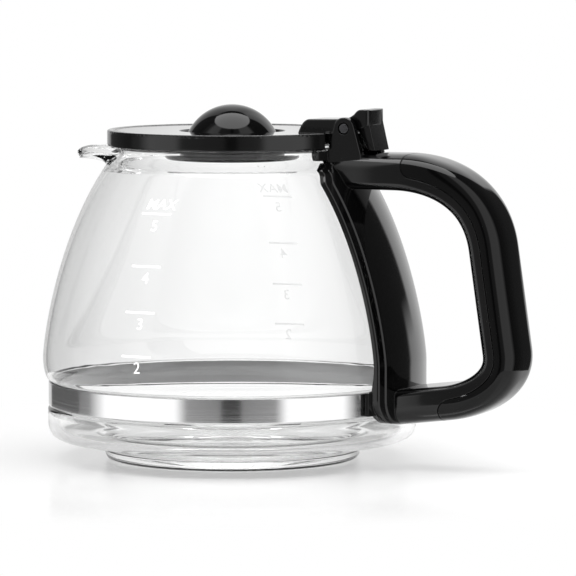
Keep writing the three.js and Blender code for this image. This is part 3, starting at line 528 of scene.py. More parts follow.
class NodeSheet:
    """A node tree with short calls for adding nodes, whose inputs are values or links."""

    def __init__(self, tree: bpy.types.NodeTree) -> None:
        """Clears the tree and keeps it."""
        self.tree = tree
        tree.nodes.clear()

    def add(self, kind: str, inputs: dict[str | int, object] | None = None, **settings: object) -> bpy.types.Node:
        """Adds a node; an input that is given an output socket is linked to it.

        Args:
            kind: Type name of the node.
            inputs: Values or output sockets for the input sockets, by name or number.
            settings: Attributes of the node.

        Returns:
            The new node.
        """
        node = self.tree.nodes.new(kind)
        for key, value in settings.items():
            setattr(node, key, value)
        for key, value in (inputs or {}).items():
            if isinstance(value, bpy.types.NodeSocket):
                self.tree.links.new(value, node.inputs[key])
            else:
                node.inputs[key].default_value = value
        return node

    def place(self) -> Socket:
        """Object coordinates."""
        return self.add("ShaderNodeTexCoord").outputs["Object"]

    def length(self, place: Socket) -> Socket:
        """Distance of a place from the origin."""
        return self.add("ShaderNodeVectorMath", {0: place}, operation="LENGTH").outputs["Value"]

    def from_axis(self, place: Socket) -> Socket:
        """Distance of a place from the Z axis."""
        level = self.add("ShaderNodeMapping", {"Vector": place, "Scale": (1.0, 1.0, 0.0)})
        return self.length(level.outputs["Vector"])

    def noise(self, place: Socket, scale: float, detail: float, roughness: float = 0.5) -> Socket:
        """Smooth noise over a place."""
        inputs = {"Vector": place, "Scale": scale, "Detail": detail, "Roughness": roughness}
        return self.add("ShaderNodeTexNoise", inputs).outputs["Fac"]

    def span(self, value: Socket, source: Pair, target: Pair = (0.0, 1.0), ease: str = "LINEAR") -> Socket:
        """A value taken from one range to another and held at its ends.

        Args:
            value: Value to take over.
            source: Range of the value.
            target: Range of the result.
            ease: Blender's name for the way between the ends.

        Returns:
            The result.
        """
        ends = dict(zip(("From Min", "From Max", "To Min", "To Max"), source + target))
        return self.add("ShaderNodeMapRange", {"Value": value} | ends, interpolation_type=ease).outputs["Result"]

    def calc(self, operation: str, first: Socket, second: Socket) -> Socket:
        """Two values taken together by one operation."""
        return self.add("ShaderNodeMath", {0: first, 1: second}, operation=operation).outputs["Value"]

    def blend(self, share: Socket, first: Socket | Colour, second: Socket | Colour) -> Socket:
        """A colour between two."""
        return self.add("ShaderNodeMix", {"Factor": share, "A": first, "B": second}, data_type="RGBA").outputs["Result"]

    def mixed(self, share: Socket | float, first: Socket, second: Socket) -> Socket:
        """A shader between two."""
        return self.add("ShaderNodeMixShader", {"Fac": share, 1: first, 2: second}).outputs["Shader"]

    def glow(self, colour: Socket | Colour, strength: float) -> Socket:
        """A shader that gives off light."""
        return self.add("ShaderNodeEmission", {"Color": colour, "Strength": strength}).outputs["Emission"]

    def relief(self, height: Socket, strength: float, depth: float, normal: Socket | None = None) -> Socket:
        """A normal bumped by a height.

        Args:
            height: Height from 0 to 1.
            strength: Strength of the bump.
            depth: Depth in metres.
            normal: Normal to build on, if not the plain one.

        Returns:
            The bumped normal.
        """
        built_on = {} if normal is None else {"Normal": normal}
        inputs = {"Height": height, "Strength": strength, "Distance": depth} | built_on
        return self.add("ShaderNodeBump", inputs).outputs["Normal"]

    def ramp(self, factor: Socket, stops: Sequence[Pair]) -> Socket:
        """A grey ramp over a factor.

        Args:
            factor: Factor from 0 to 1.
            stops: Place and grey value of each stop.

        Returns:
            The ramp's colour output.
        """
        node = self.add("ShaderNodeValToRGB", {"Fac": factor})
        stripe = node.color_ramp
        stripe.elements[0].position = stops[0][0]
        stripe.elements[1].position = stops[-1][0]
        for place, _ in stops[1:-1]:
            stripe.elements.new(place)
        for element, (_, grey) in zip(stripe.elements, stops):
            element.color = (grey, grey, grey, 1.0)
        return node.outputs["Color"]

    def surface(self, shader: Socket) -> None:
        """Ends the sheet of a material with its surface."""
        self.add("ShaderNodeOutputMaterial", {"Surface": shader})

    def principled(self, inputs: dict[str | int, object]) -> None:
        """Ends the sheet of a material with a principled surface."""
        self.surface(self.add("ShaderNodeBsdfPrincipled", inputs).outputs["BSDF"])


def new_material(name: str) -> tuple[bpy.types.Material, NodeSheet]:
    """A material with an empty sheet.

    Args:
        name: Name of the material.

    Returns:
        The material and its sheet.
    """
    material = bpy.data.materials.new(name)
    material.use_nodes = True
    return material, NodeSheet(material.node_tree)


@dataclass(frozen=True)
class ClearGlass:
    """Blown soda glass: clear, faintly wavy, with a little tint."""

    colour: Colour = (0.982, 0.984, 0.983, 1.0)
    ior: float = 1.47
    wave_scale: float = 38.0
    wave_strength: float = 0.35
    wave_depth: float = 0.00004
    haze_from: Pair = (0.35, 0.8)
    haze: float = 0.012

    def material(self) -> bpy.types.Material:
        """Transmission with a slow wave in the surface and hardly any haze.

        Returns:
            The material.
        """
        material, sheet = new_material("clear_glass")
        wave = sheet.noise(sheet.place(), self.wave_scale, 1.0, 0.4)
        sheet.principled({
            "Base Color": self.colour, "IOR": self.ior, "Transmission Weight": 1.0, "Metallic": 0.0,
            "Roughness": sheet.span(wave, self.haze_from, (0.0, self.haze)),
            "Normal": sheet.relief(wave, self.wave_strength, self.wave_depth)})
        return material


@dataclass(frozen=True)
class PolishedSteel:
    """Polished stainless strip with fine lines along its length."""

    name: str = "polished_steel"
    colour: Colour = (0.85, 0.85, 0.855, 1.0)
    roughness: Pair = (0.05, 0.17)
    lines: tuple[float, float, float] = (14.0, 14.0, 5200.0)
    line_strength: float = 0.08
    line_depth: float = 0.00002
    rough_within: float | None = None
    rough_inside: float = 0.42
    rough_edge: float = 0.00004

    def material(self) -> bpy.types.Material:
        """Metal whose roughness and relief follow noise that is long across X-Y and short along Z.

        Returns:
            The material.
        """
        material, sheet = new_material(self.name)
        place = sheet.place()
        stretch = sheet.add("ShaderNodeMapping", {"Vector": place, "Scale": self.lines})
        brush = sheet.noise(stretch.outputs["Vector"], 1.0, 3.0, 0.6)
        rough = sheet.span(brush, NOISE_RANGE, self.roughness)
        if self.rough_within is not None:
            rough = self.unpolished(sheet, place, rough)
        sheet.principled({
            "Base Color": self.colour, "Metallic": 1.0, "Roughness": rough,
            "Normal": sheet.relief(brush, self.line_strength, self.line_depth)})
        return material

    def unpolished(self, sheet: NodeSheet, place: Socket, rough: Socket) -> Socket:
        """Adds to the roughness within a radius, for the inner side of a ring that is polished outside only.

        Args:
            sheet: Sheet to add to.
            place: Object coordinates.
            rough: Roughness of the polished side.

        Returns:
            The roughness of both sides.
        """
        border = (self.rough_within - self.rough_edge, self.rough_within + self.rough_edge)
        return sheet.calc("ADD", rough, sheet.span(sheet.from_axis(place), border, (self.rough_inside, 0.0)))


@dataclass(frozen=True)
class MouldedPlastic:
    """Black moulded plastic with a fine grain, softened edges and slightly uneven gloss."""

    name: str
    dark: Colour
    pale: Colour
    roughness: Pair
    grain_scale: float
    grain_depth: float
    grain_strength: float = 0.5
    cloud_scale: float = 46.0
    edge: float = 0.00025
    ior: float = 1.5
    shine: float = 0.5
    pebbles: Pair | None = None
    pebble_blend: float = 0.0004
    pebble_ring: Pair = (0.0370, 0.0415)
    pebble_scale: float = 900.0
    pebble_strength: float = 0.9
    pebble_depth: float = 0.00022
    smooth_within: float | None = None
    smooth_blend: float = 0.0002
    smooth_share: float = 0.4

    def material(self) -> bpy.types.Material:
        """Principled plastic: noise sets grain, gloss and shade, a bevel normal rounds edges.

        Returns:
            The material.
        """
        material, sheet = new_material(self.name)
        place = sheet.place()
        grain = sheet.noise(place, self.grain_scale, 2.0, 0.55)
        cloud = sheet.noise(place, self.cloud_scale, 2.0)
        rough = sheet.span(cloud, NOISE_RANGE, self.roughness)
        if self.smooth_within is not None:
            rough = self.smoothed(sheet, place, rough)
        rounding = sheet.add("ShaderNodeBevel", {"Radius": self.edge}, samples=4)
        normal = sheet.relief(grain, self.grain_strength, self.grain_depth, rounding.outputs["Normal"])
        if self.pebbles is not None:
            normal = self.pebbled(sheet, place, normal)
        sheet.principled({
            "Base Color": sheet.blend(cloud, self.dark, self.pale), "Metallic": 0.0, "Roughness": rough,
            "IOR": self.ior, "Specular IOR Level": self.shine, "Normal": normal})
        return material

    def smoothed(self, sheet: NodeSheet, place: Socket, rough: Socket) -> Socket:
        """Less than half the roughness within a radius about +Z, as on the top of the lid.

        Args:
            sheet: Sheet to add to.
            place: Object coordinates.
            rough: Roughness outside the radius.

        Returns:
            The roughness of both.
        """
        border = (self.smooth_within - self.smooth_blend, self.smooth_within)
        return sheet.calc("MULTIPLY", rough, sheet.span(sheet.from_axis(place), border, (self.smooth_share, 1.0)))

    def pebbled(self, sheet: NodeSheet, place: Socket, normal: Socket) -> Socket:
        """Coarse pebbles between two heights and two radii, as on the edge of the lid.

        Args:
            sheet: Sheet to add to.
            place: Object coordinates.
            normal: Normal to build on.

        Returns:
            The pebbled normal.
        """
        low, high = self.pebbles
        apart = sheet.add("ShaderNodeSeparateXYZ", {"Vector": place})
        height = sheet.span(apart.outputs["Z"], (low - self.pebble_blend, high + self.pebble_blend))
        reach = sheet.span(sheet.from_axis(place), self.pebble_ring)
        on_edge = sheet.calc(
            "MULTIPLY",
            sheet.ramp(height, [(0.0, 0.0), (0.3, 1.0), (0.7, 1.0), (1.0, 0.0)]),
            sheet.ramp(reach, [(0.0, 0.0), (0.3, 1.0), (0.85, 1.0), (1.0, 0.0)]))
        pebble = sheet.calc("MULTIPLY", sheet.noise(place, self.pebble_scale, 1.0), on_edge)
        return sheet.relief(pebble, self.pebble_strength, self.pebble_depth, normal)


@dataclass(frozen=True)
class FiredPrint:
    """White enamel print of the cup marks."""

    colour: Colour = (0.92, 0.92, 0.92, 1.0)
    thin_share: float = 0.93
    film_scale: float = 1400.0
    roughness: float = 0.55
    # Painted light: emission strength that lifts the print to white in shade and behind the glass, though the print
    # gives off no light.
    glow: float = 0.55

    def material(self) -> bpy.types.Material:
        """Matt white with a slightly patchy ink film and a painted glow: white emission that keeps the print bright
        where it lies in shade or behind the glass.

        Returns:
            The material.
        """
        material, sheet = new_material("white_print")
        film = sheet.noise(sheet.place(), self.film_scale, 2.0)
        thin = tuple(self.thin_share * c for c in self.colour[:3]) + (1.0,)
        # The emission below is painted light, standing in for light that the print would catch.
        sheet.principled({
            "Base Color": sheet.blend(film, thin, self.colour), "Roughness": self.roughness,
            "Emission Color": WHITE, "Emission Strength": self.glow})
        return material


SATIN_BLACK = MouldedPlastic(
    "satin_black", (0.0012, 0.0012, 0.0013, 1.0), (0.0024, 0.0024, 0.0025, 1.0), (0.06, 0.10), 2600.0, 0.000002)
LID_BLACK = MouldedPlastic(
    "lid_black", (0.0014, 0.0014, 0.0015, 1.0), (0.0026, 0.0026, 0.0027, 1.0), (0.11, 0.15), 2400.0, 0.000004,
    pebbles=(0.1074, 0.1082), smooth_within=0.0408)
GLOSS_BLACK = MouldedPlastic(
    "gloss_black", (0.001, 0.001, 0.0011, 1.0), (0.002, 0.002, 0.0021, 1.0), (0.04, 0.07), 320.0, 0.000004,
    shine=0.32)


@dataclass(frozen=True)
class JugForm:
    """Section of the glass and the spout drawn out of it, in millimetres."""

    foot_radius: float = 42.0
    foot_height: float = 6.0
    foot_edge: float = 2.4
    push_up: float = 0.9
    base_radius: float = 60.7
    base_round: float = 6.0
    groove_radius: float = 59.6
    groove_low: float = 17.5
    groove_high: float = 25.8
    belly_radius: float = 62.3
    belly_z: float = 33.2
    wall_low_pull: float = 6.0
    wall_top_pull: Pair = (15.6, 23.2)
    shoulder_radius: float = 42.0
    shoulder_z: float = 95.6
    neck_radius: float = 37.0
    neck_z: float = 98.8
    rim_radius: float = 38.0
    rim_z: float = 104.5
    wall: float = 2.2
    side_wall: float = 1.3
    base_wall: float = 3.0
    ripple: float = 0.05
    ripple_under: float = 4.6
    ripple_inside: float = 5.4
    spout_reach: float = 18.4
    spout_dip: float = 2.0
    spout_tip_dip: float = 2.5
    spout_depth: float = 9.2
    spout_half: float = math.radians(28.0)
    spout_tip_half: float = math.radians(14.0)
    spout_lift: float = 1.7
    spout_crowding: float = 0.45

    def side(self, count: int) -> Array:
        """Side from belly to shoulder: a cubic curve.

        Args:
            count: Points on the curve.

        Returns:
            Points of (radius, height).
        """
        pull_r, pull_z = self.wall_top_pull
        return bezier([
            (self.belly_radius, self.belly_z),
            (self.belly_radius, self.belly_z + self.wall_low_pull),
            (self.shoulder_radius + pull_r, self.shoulder_z - pull_z),
            (self.shoulder_radius, self.shoulder_z),
        ], count)

    def neck(self) -> Array:
        """From the shoulder up the neck: a cubic curve that leaves the side smoothly and ends upright below the rim.

        Returns:
            Points of (radius, height).
        """
        pull = 2.2 * np.array([-self.wall_top_pull[0], self.wall_top_pull[1]]) / np.linalg.norm(self.wall_top_pull)
        return np.vstack([
            bezier([(self.shoulder_radius, self.shoulder_z),
                    (self.shoulder_radius + pull[0], self.shoulder_z + pull[1]),
                    (self.neck_radius, self.neck_z - 0.9), (self.neck_radius, self.neck_z + 2.8)], 28)[1:],
            [(self.neck_radius, self.rim_z - 2.5)]])

    def swell(self, groove: float) -> Array:
        """From the top of the groove out to the belly: a cubic curve."""
        return bezier([(groove + 1.1, self.groove_high + 0.5), (self.belly_radius - 0.6, self.groove_high + 2.0),
                       (self.belly_radius, self.belly_z - 3.0), (self.belly_radius, self.belly_z)], 20)

    def within(self, line: Array) -> Array:
        """A line that runs upwards, moved inwards along its normals by the wall of the side."""
        step = unit(np.gradient(line, axis=0))
        return line + self.side_wall * np.column_stack([-step[:, 1], step[:, 0]])

    def radius_at(self, height: Array | float) -> Array:
        """Outer radius of the side at a height, read off the side curve."""
        curve = self.side(400)
        return np.interp(height, curve[:, 1], curve[:, 0])

    def outside(self, gap: float = 0.0, over_band: float | None = None) -> Array:
        """Outside from the middle of the foot to the top of the rim.

        Args:
            gap: Clearance added to every radius.
            over_band: Radius that replaces the groove, for a form that also clears the band.

        Returns:
            Points of (radius, height), corners softened.
        """
        r = np.linspace(0.0, 36.0, 60)
        wave = np.sin(2.0 * np.pi * r / self.ripple_under) * smoothstep(1.0, 5.0, r)
        rings = self.ripple * wave * (1.0 - smoothstep(12.0, 18.0, r))
        under = np.column_stack([r, self.push_up * (1.0 - smoothstep(20.0, 35.0, r)) + rings])
        foot = self.foot_radius
        low = self.foot_height + 0.5
        groove = self.groove_radius if over_band is None else max(self.groove_radius, over_band)
        line = np.vstack([
            under,
            bezier([(foot - self.foot_edge, 0.0), (foot, 0.0), (foot, self.foot_edge)], 10),
            bezier([(foot + 0.2, 3.6), (foot + 0.5, low - 0.2), (foot + 3.4, low)], 8),
            bezier([(self.base_radius - self.base_round, low), (self.base_radius, low),
                    (self.base_radius, low + self.base_round)], 16),
            [(self.base_radius, self.groove_low - 0.6), (groove, self.groove_low), (groove, self.groove_high)],
            self.swell(groove)[:-1],
            self.side(60),
            self.neck(),
            bezier([(self.neck_radius + 0.3, self.rim_z - 2.2), (self.rim_radius + 0.4, self.rim_z - 1.6),
                    (self.rim_radius + 0.2, self.rim_z), (self.rim_radius - 1.5, self.rim_z)], 12),
        ])
        line = softened(line, 0.45, 4)
        return line + np.array([gap, 0.0]) * (line[:, :1] > 0.0)

    def inside(self) -> Array:
        """Inside from the top of the rim down to the middle of the base.

        Returns:
            Points of (radius, height), corners softened.
        """
        inner = self.neck_radius - self.side_wall
        groove = self.groove_radius - self.wall
        floor = self.foot_height + self.wall + 0.6
        corner = self.base_round - self.wall
        foot = self.foot_radius - self.wall
        r = np.linspace(foot - 3.0, 0.0, 60)
        wave = np.sin(2.0 * np.pi * r / self.ripple_inside + 0.8) * smoothstep(0.0, 5.0, r)
        rings = self.ripple * wave * (1.0 - smoothstep(12.0, 18.0, r))
        line = np.vstack([
            bezier([(self.rim_radius - 1.5, self.rim_z), (inner, self.rim_z), (inner, self.rim_z - 1.4)], 8),
            self.within(np.vstack([self.swell(self.groove_radius)[:-1], self.side(60), self.neck()]))[::-1],
            [(groove, self.groove_high - 1.6)],
            bezier([(groove, floor + corner), (groove, floor), (groove - corner, floor)], 14),
            [(self.foot_radius + 1.4, floor - 0.6)],
            bezier([(foot, self.base_wall + 2.4), (foot - 0.2, self.base_wall), (foot - 2.4, self.base_wall)], 8),
            np.column_stack([r, self.base_wall + rings]),
        ])
        return softened(line, 0.5, 4)

    def drawn(self, line: Array, inner: bool, columns: int) -> Array:
        """Points of a turned line with the spout drawn out of it towards -X.

        Angle a from the spout is e - crowding * sin(e) for even e. Radius grows by the reach times a squared cosine
        of a, eased in up the neck; height sinks by a dip along the sides and a deeper dip at the tip.

        Args:
            line: Section of (radius, height).
            inner: Whether the line is the inside of the glass.
            columns: Columns on the full turn.

        Returns:
            Points as (line point, column, xyz).
        """
        even = np.linspace(-np.pi, np.pi, columns, endpoint=False)[None, :]
        angle = even - self.spout_crowding * np.sin(even)
        radius, z = line[:, 0:1], line[:, 1:2]
        lift = self.spout_lift if inner else 0.0
        run = smoothstep(self.rim_z - self.spout_depth - lift, self.neck_z + 1.0, z - 1.2 * lift)
        sink = smoothstep(self.neck_z - 2.5, self.rim_z - 1.5, z)
        reach = radius + self.spout_reach * bump(angle, self.spout_half) * run
        sides = 1.0 - smoothstep(0.75 * self.spout_half, 1.3 * self.spout_half, np.abs(angle))
        dip = self.spout_dip * sides + self.spout_tip_dip * bump(angle, self.spout_tip_half)
        return np.stack([-reach * np.cos(angle), reach * np.sin(angle), z - dip * sink], axis=-1)


@dataclass
class GlassJug:
    """The blown jug."""

    form: JugForm
    columns: int = 288
    outer_rows: int = 150
    inner_rows: int = 120

    def build(self) -> bpy.types.Object:
        """Outside and inside turned as one closed surface that meets on the rim.

        Returns:
            The jug.
        """
        outer = self.form.drawn(resampled(self.form.outside(), self.outer_rows), False, self.columns)
        inner = self.form.drawn(resampled(self.form.inside(), self.inner_rows), True, self.columns)
        points = np.concatenate([outer, inner[1:]], axis=0)
        return Skin.of(points, grid_faces(len(points), self.columns, close_cols=True)).to_object("jug_glass")

    def dress(self, obj: bpy.types.Object) -> bpy.types.Object:
        """Clear glass."""
        return finished(obj, ClearGlass().material(), Body.JUG, Slot.GLASS, "glass_jug", crease=60.0, flats=False)


@dataclass
class CupMarks:
    """Printed cup lines with numerals on both sides of the jug."""

    form: JugForm
    azimuths: tuple[float, ...] = (math.radians(-94.0), math.radians(97.0))
    levels: tuple[tuple[str, float], ...] = (("5", 83.2), ("4", 66.8), ("3", 52.4), ("2", 38.5))
    line_length: float = 10.6
    line_width: float = 0.66
    numeral_height: float = 3.7
    numeral_weight: float = 0.018
    numeral_drop: float = 5.3
    numeral_turn: float = 0.008
    word: str = "MAX"
    word_height: float = 3.6
    word_slant: float = 0.22
    word_weight: float = 0.012
    word_rise: float = 1.4
    word_turn: float = 0.02
    film: float = 0.03
    film_lift: float = 2.2
    capital_share: float = 0.72

    def lettering(self, text: str, height: float, slant: float, weight: float) -> Skin:
        """Flat lettering with a film thickness, its middle on x = 0 and its foot on y = 0.

        Args:
            text: Characters to set.
            height: Height of the capitals.
            slant: Slope of the letters.
            weight: Extra weight of the strokes.

        Returns:
            Letters as a skin of (across, up, out).
        """
        curve = bpy.data.curves.new("lettering", "FONT")
        curve.body = text
        curve.align_x = "CENTER"
        curve.size = height / self.capital_share
        curve.shear = slant
        curve.offset = weight
        curve.extrude = self.film
        curve.resolution_u = 6
        carrier = bpy.data.objects.new("lettering", curve)
        bpy.context.scene.collection.objects.link(carrier)
        bpy.context.view_layer.update()
        mesh = bpy.data.meshes.new_from_object(carrier.evaluated_get(bpy.context.evaluated_depsgraph_get()))
        points = np.empty(3 * len(mesh.vertices), np.float32)
        mesh.vertices.foreach_get("co", points)
        loops = np.empty(len(mesh.loops), np.int32)
        mesh.loops.foreach_get("vertex_index", loops)
        sizes = np.empty(len(mesh.polygons), np.int32)
        mesh.polygons.foreach_get("loop_total", sizes)
        bpy.data.objects.remove(carrier)
        bpy.data.meshes.remove(mesh)
        return Skin(points.reshape(-1, 3).astype(float), loops, sizes)

    def bar(self) -> Skin:
        """The cup line: a flat strip in eight lengths, so that it bends round the glass.

        Returns:
            The strip as a skin of (across, up, out).
        """
        x = np.linspace(-0.5, 0.5, 9)[:, None] * self.line_length
        y = np.array([-0.5, 0.5, 0.5, -0.5])[None, :] * self.line_width
        z = np.array([-1.0, -1.0, 1.0, 1.0])[None, :] * self.film
        return tube(np.stack([x + 0.0 * y, y + 0.0 * x, z + 0.0 * x], axis=-1))

    def wrapped(self, flat: Skin, azimuth: float, level: float) -> Skin:
        """Flat (across, up, out) laid on the glass: angle = azimuth + across / radius, radius = glass + out.

        Heights shrink by the slope of the side, so that the marks keep their size along the glass.

        Args:
            flat: Flat skin.
            azimuth: Angle of the middle on the jug.
            level: Height of the foot of the lettering.

        Returns:
            The skin on the glass.
        """
        across, up, out = flat.points.T
        reach = self.form.radius_at(level - 1.0) - self.form.radius_at(level + 1.0)
        z = level + up / math.hypot(1.0, 0.5 * float(reach))
        radius = self.form.radius_at(z) + self.film_lift * self.film + out
        angle = azimuth + across / self.form.radius_at(level)
        points = np.column_stack([radius * np.cos(angle), radius * np.sin(angle), z])
        return Skin(points, flat.loops, flat.sizes)

    def build(self) -> bpy.types.Object:
        """All lines, numerals and the word above the top line as one piece.

        Returns:
            The marks.
        """
        line = self.bar()
        numerals = {name: self.lettering(name, self.numeral_height, 0.0, self.numeral_weight)
                    for name, _ in self.levels}
        word = self.lettering(self.word, self.word_height, self.word_slant, self.word_weight)
        skins: list[Skin] = []
        for azimuth in self.azimuths:
            skins += [self.wrapped(line, azimuth, level) for _, level in self.levels]
            skins += [self.wrapped(numerals[name], azimuth + self.numeral_turn, level - self.numeral_drop)
                      for name, level in self.levels]
            skins.append(self.wrapped(word, azimuth + self.word_turn, self.levels[0][1] + self.word_rise))
        return Skin.merged(skins).to_object("cup_marks")

    def dress(self, obj: bpy.types.Object) -> bpy.types.Object:
        """White print.

        Args:
            obj: The marks.

        Returns:
            The marks, which cast no shadow.
        """
        finished(obj, FiredPrint().material(), Body.JUG, Slot.PRINT)
        obj.visible_shadow = False
        return obj


@dataclass
class ClampBand:
    """Steel strip round the base with two ends that turn out and hook towards each other."""

    radius: float = 60.2
    low: float = 17.8
    height: float = 7.7
    half_thickness: float = 0.3
    tab_y: float = 5.3
    tab_x: float = 65.6
    tab_half_height: float = 2.3
    hook_y: float = 2.4
    bend: float = 0.9
    edge: float = 0.22

    def path(self) -> Array:
        """Middle of the strip seen from above: hook, tab, ring, tab, hook.

        Returns:
            Points of (x, y).
        """
        root = math.sqrt(self.radius**2 - self.tab_y**2)
        start = math.asin(self.tab_y / self.radius)
        angle = np.linspace(start, 2.0 * np.pi - start, 300)
        ring = self.radius * np.column_stack([np.cos(angle), np.sin(angle)])
        end = softened([(self.tab_x, self.hook_y), (self.tab_x, self.tab_y), (root, self.tab_y), tuple(ring[2])],
                       self.bend, 6)
        return np.vstack([end[:-1], ring[2:-2], (end[:-1] * np.array([1.0, -1.0]))[::-1]])

    def build(self) -> bpy.types.Object:
        """A rounded flat section carried along the path; its height eases from tab to ring.

        Returns:
            The band.
        """
        path = self.path()
        step = unit(np.gradient(path, axis=0))
        normal = np.column_stack([step[:, 1], -step[:, 0]])
        walked = np.concatenate([[0.0], np.cumsum(np.linalg.norm(np.diff(path, axis=0), axis=1))])
        from_end = np.minimum(walked, walked[-1] - walked)
        on_ring = smoothstep(8.0, 11.5, from_end)
        half = self.tab_half_height + (0.5 * self.height - self.tab_half_height) * on_ring
        a = np.linspace(0.0, 0.5 * np.pi, 5)
        turn = np.concatenate([a, a + 0.5 * np.pi, a + np.pi, a + 1.5 * np.pi])
        out = np.repeat([1, -1, -1, 1], 5) * (self.half_thickness - self.edge) + self.edge * np.cos(turn)
        up_sign = np.repeat([1, 1, -1, -1], 5)
        up = up_sign[None, :] * (half[:, None] - self.edge) + self.edge * np.sin(turn)[None, :]
        flat = path[:, None, :] + normal[:, None, :] * out[None, :, None]
        z = self.low + 0.5 * self.height + up
        return tube(np.concatenate([flat, z[..., None]], axis=-1)).to_object("band_strip")

    def dress(self, obj: bpy.types.Object) -> bpy.types.Object:
        """Polished steel."""
        steel = PolishedSteel(rough_within=self.radius * MM)
        return finished(obj, steel.material(), Body.JUG, Slot.STEEL, "clamp_band", crease=50.0)


@dataclass(frozen=True)
class HandleLine:
    """Middle line of the handle in the X-Z plane, from the neck out, down the grip and back to the band."""

    neck_x: float = 37.0
    top_z: float = 96.0
    top_end_x: float = 62.0
    grip_top: Pair = (93.5, 72.0)
    grip_low: Pair = (98.4, 38.95)
    low_end: Pair = (79.5, 22.05)
    low_root: Pair = (61.3, 19.75)
    top_pull: float = 16.2
    low_pull: float = 9.9
    inner: float = 5.8
    outer: float = 5.8
    strap: float = 4.7
    neck_half: float = 10.4
    arm_half: float = 12.0
    grip_half: float = 10.4
    corner: float = 2.4
    squareness: float = 3.2
    back_crowding: float = 0.16
    top_seam: float = 28.0
    low_seam: float = 17.0
    seam_corner: float = 4.0

    @cached_property
    def samples(self) -> Array:
        """Points along the line: straight, cubic bend, straight, cubic bend, straight.

        Returns:
            Points of (x, z).
        """
        top, low = np.array(self.grip_top), np.array(self.grip_low)
        down = (low - top) / np.linalg.norm(low - top)
        end, root = np.array(self.low_end), np.array(self.low_root)
        back = (root - end) / np.linalg.norm(root - end)
        start = np.array([self.top_end_x, self.top_z])
        parts = [
            np.linspace((self.neck_x, self.top_z), start, 60),
            bezier([start, start + (self.top_pull, 0.0), top - self.top_pull * down, top], 160)[1:],
            np.linspace(top, low, 80)[1:],
            bezier([low, low + self.low_pull * down, end - self.low_pull * back, end], 120)[1:],
            np.linspace(end, root, 50)[1:],
        ]
        return np.vstack(parts)

    @cached_property
    def walked(self) -> Array:
        """Distance of each sample from the neck."""
        return np.concatenate([[0.0], np.cumsum(np.linalg.norm(np.diff(self.samples, axis=0), axis=1))])

    @property
    def length(self) -> float:
        """Length of the whole line."""
        return float(self.walked[-1])

    @property
    def parting(self) -> float:
        """Parting plane between strap and cover, outwards from the line."""
        return self.strap - self.inner

    def place(self, along: Array | float) -> Array:
        """Points of the line at distances from the neck."""
        return np.stack([np.interp(along, self.walked, self.samples[:, k]) for k in (0, 1)], axis=-1)

    def at(self, along: Array | float, sideways: Array | float, outwards: Array | float) -> Array:
        """Points beside the line: place + sideways along Y + outwards along the normal in the X-Z plane.

        Args:
            along: Distances along the line.
            sideways: Distances along Y.
            outwards: Distances away from the inside of the loop.

        Returns:
            Points as (..., xyz).
        """
        along, sideways, outwards = np.broadcast_arrays(
            np.asarray(along, float), np.asarray(sideways, float), np.asarray(outwards, float))
        tangent = unit(self.place(along + 0.2) - self.place(along - 0.2))
        middle = self.place(along)
        return np.stack([middle[..., 0] - tangent[..., 1] * outwards, sideways,
                         middle[..., 1] + tangent[..., 0] * outwards], axis=-1)

    def out_at(self, along: float) -> Array:
        """Unit outward direction at a distance along the line."""
        return self.at(along, 0.0, 1.0) - self.at(along, 0.0, 0.0)

    def half_width(self, along: Array) -> Array:
        """Half width: broadest at the two arms, narrower at the neck and along the grip.

        Args:
            along: Distances along the line.

        Returns:
            Half width at each distance.
        """
        from_top = smoothstep(self.top_seam, 2.0 * self.top_seam, along)
        from_low = smoothstep(0.6 * self.low_seam, 2.4 * self.low_seam, self.length - along)
        grip = self.arm_half + (self.grip_half - self.arm_half) * np.minimum(from_top, from_low)
        return grip - (self.arm_half - self.neck_half) * (1.0 - smoothstep(0.0, self.top_seam, along))

    def bar(self, along: Array, half: Array, base: float, spring: float, crest: float, corner: float) -> Skin:
        """A section carried along the line: flat inner face, quarter-round corners, superellipse back.

        Args:
            along: Distances of the sections.
            half: Half width at each section.
            base: Inner face, outwards from the line.
            spring: Where the back starts.
            crest: Top of the back.
            corner: Radius of the inner corners.

        Returns:
            The closed bar.
        """
        a = np.linspace(0.0, 0.5 * np.pi, 7)
        turn = np.pi * np.linspace(0.0, 1.0, 61)
        turn = turn - self.back_crowding * np.sin(2.0 * turn)
        power = 2.0 / self.squareness
        back_side = np.sign(np.cos(turn)) * np.abs(np.cos(turn)) ** power
        back_out = spring + (crest - spring) * np.abs(np.sin(turn)) ** power
        wide = np.concatenate([np.ones(7), back_side[1:-1], -np.ones(7)])
        less = np.concatenate([corner * (1 - np.sin(a)), np.zeros(59), corner * (1 - np.sin(a[::-1]))])
        out = np.concatenate([base + corner * (1 - np.cos(a)), back_out[1:-1], base + corner * (1 - np.cos(a[::-1]))])
        sideways = wide[None, :] * half[:, None] - np.sign(wide)[None, :] * less[None, :]
        return tube(self.at(along[:, None], sideways, out[None, :]))

    def whole_bar(self) -> Skin:
        """The whole handle as one bar, before it is parted into frame and cover."""
        along = np.linspace(0.0, self.length, 150)
        return self.bar(along, self.half_width(along), -self.inner, self.parting, self.outer, self.corner)

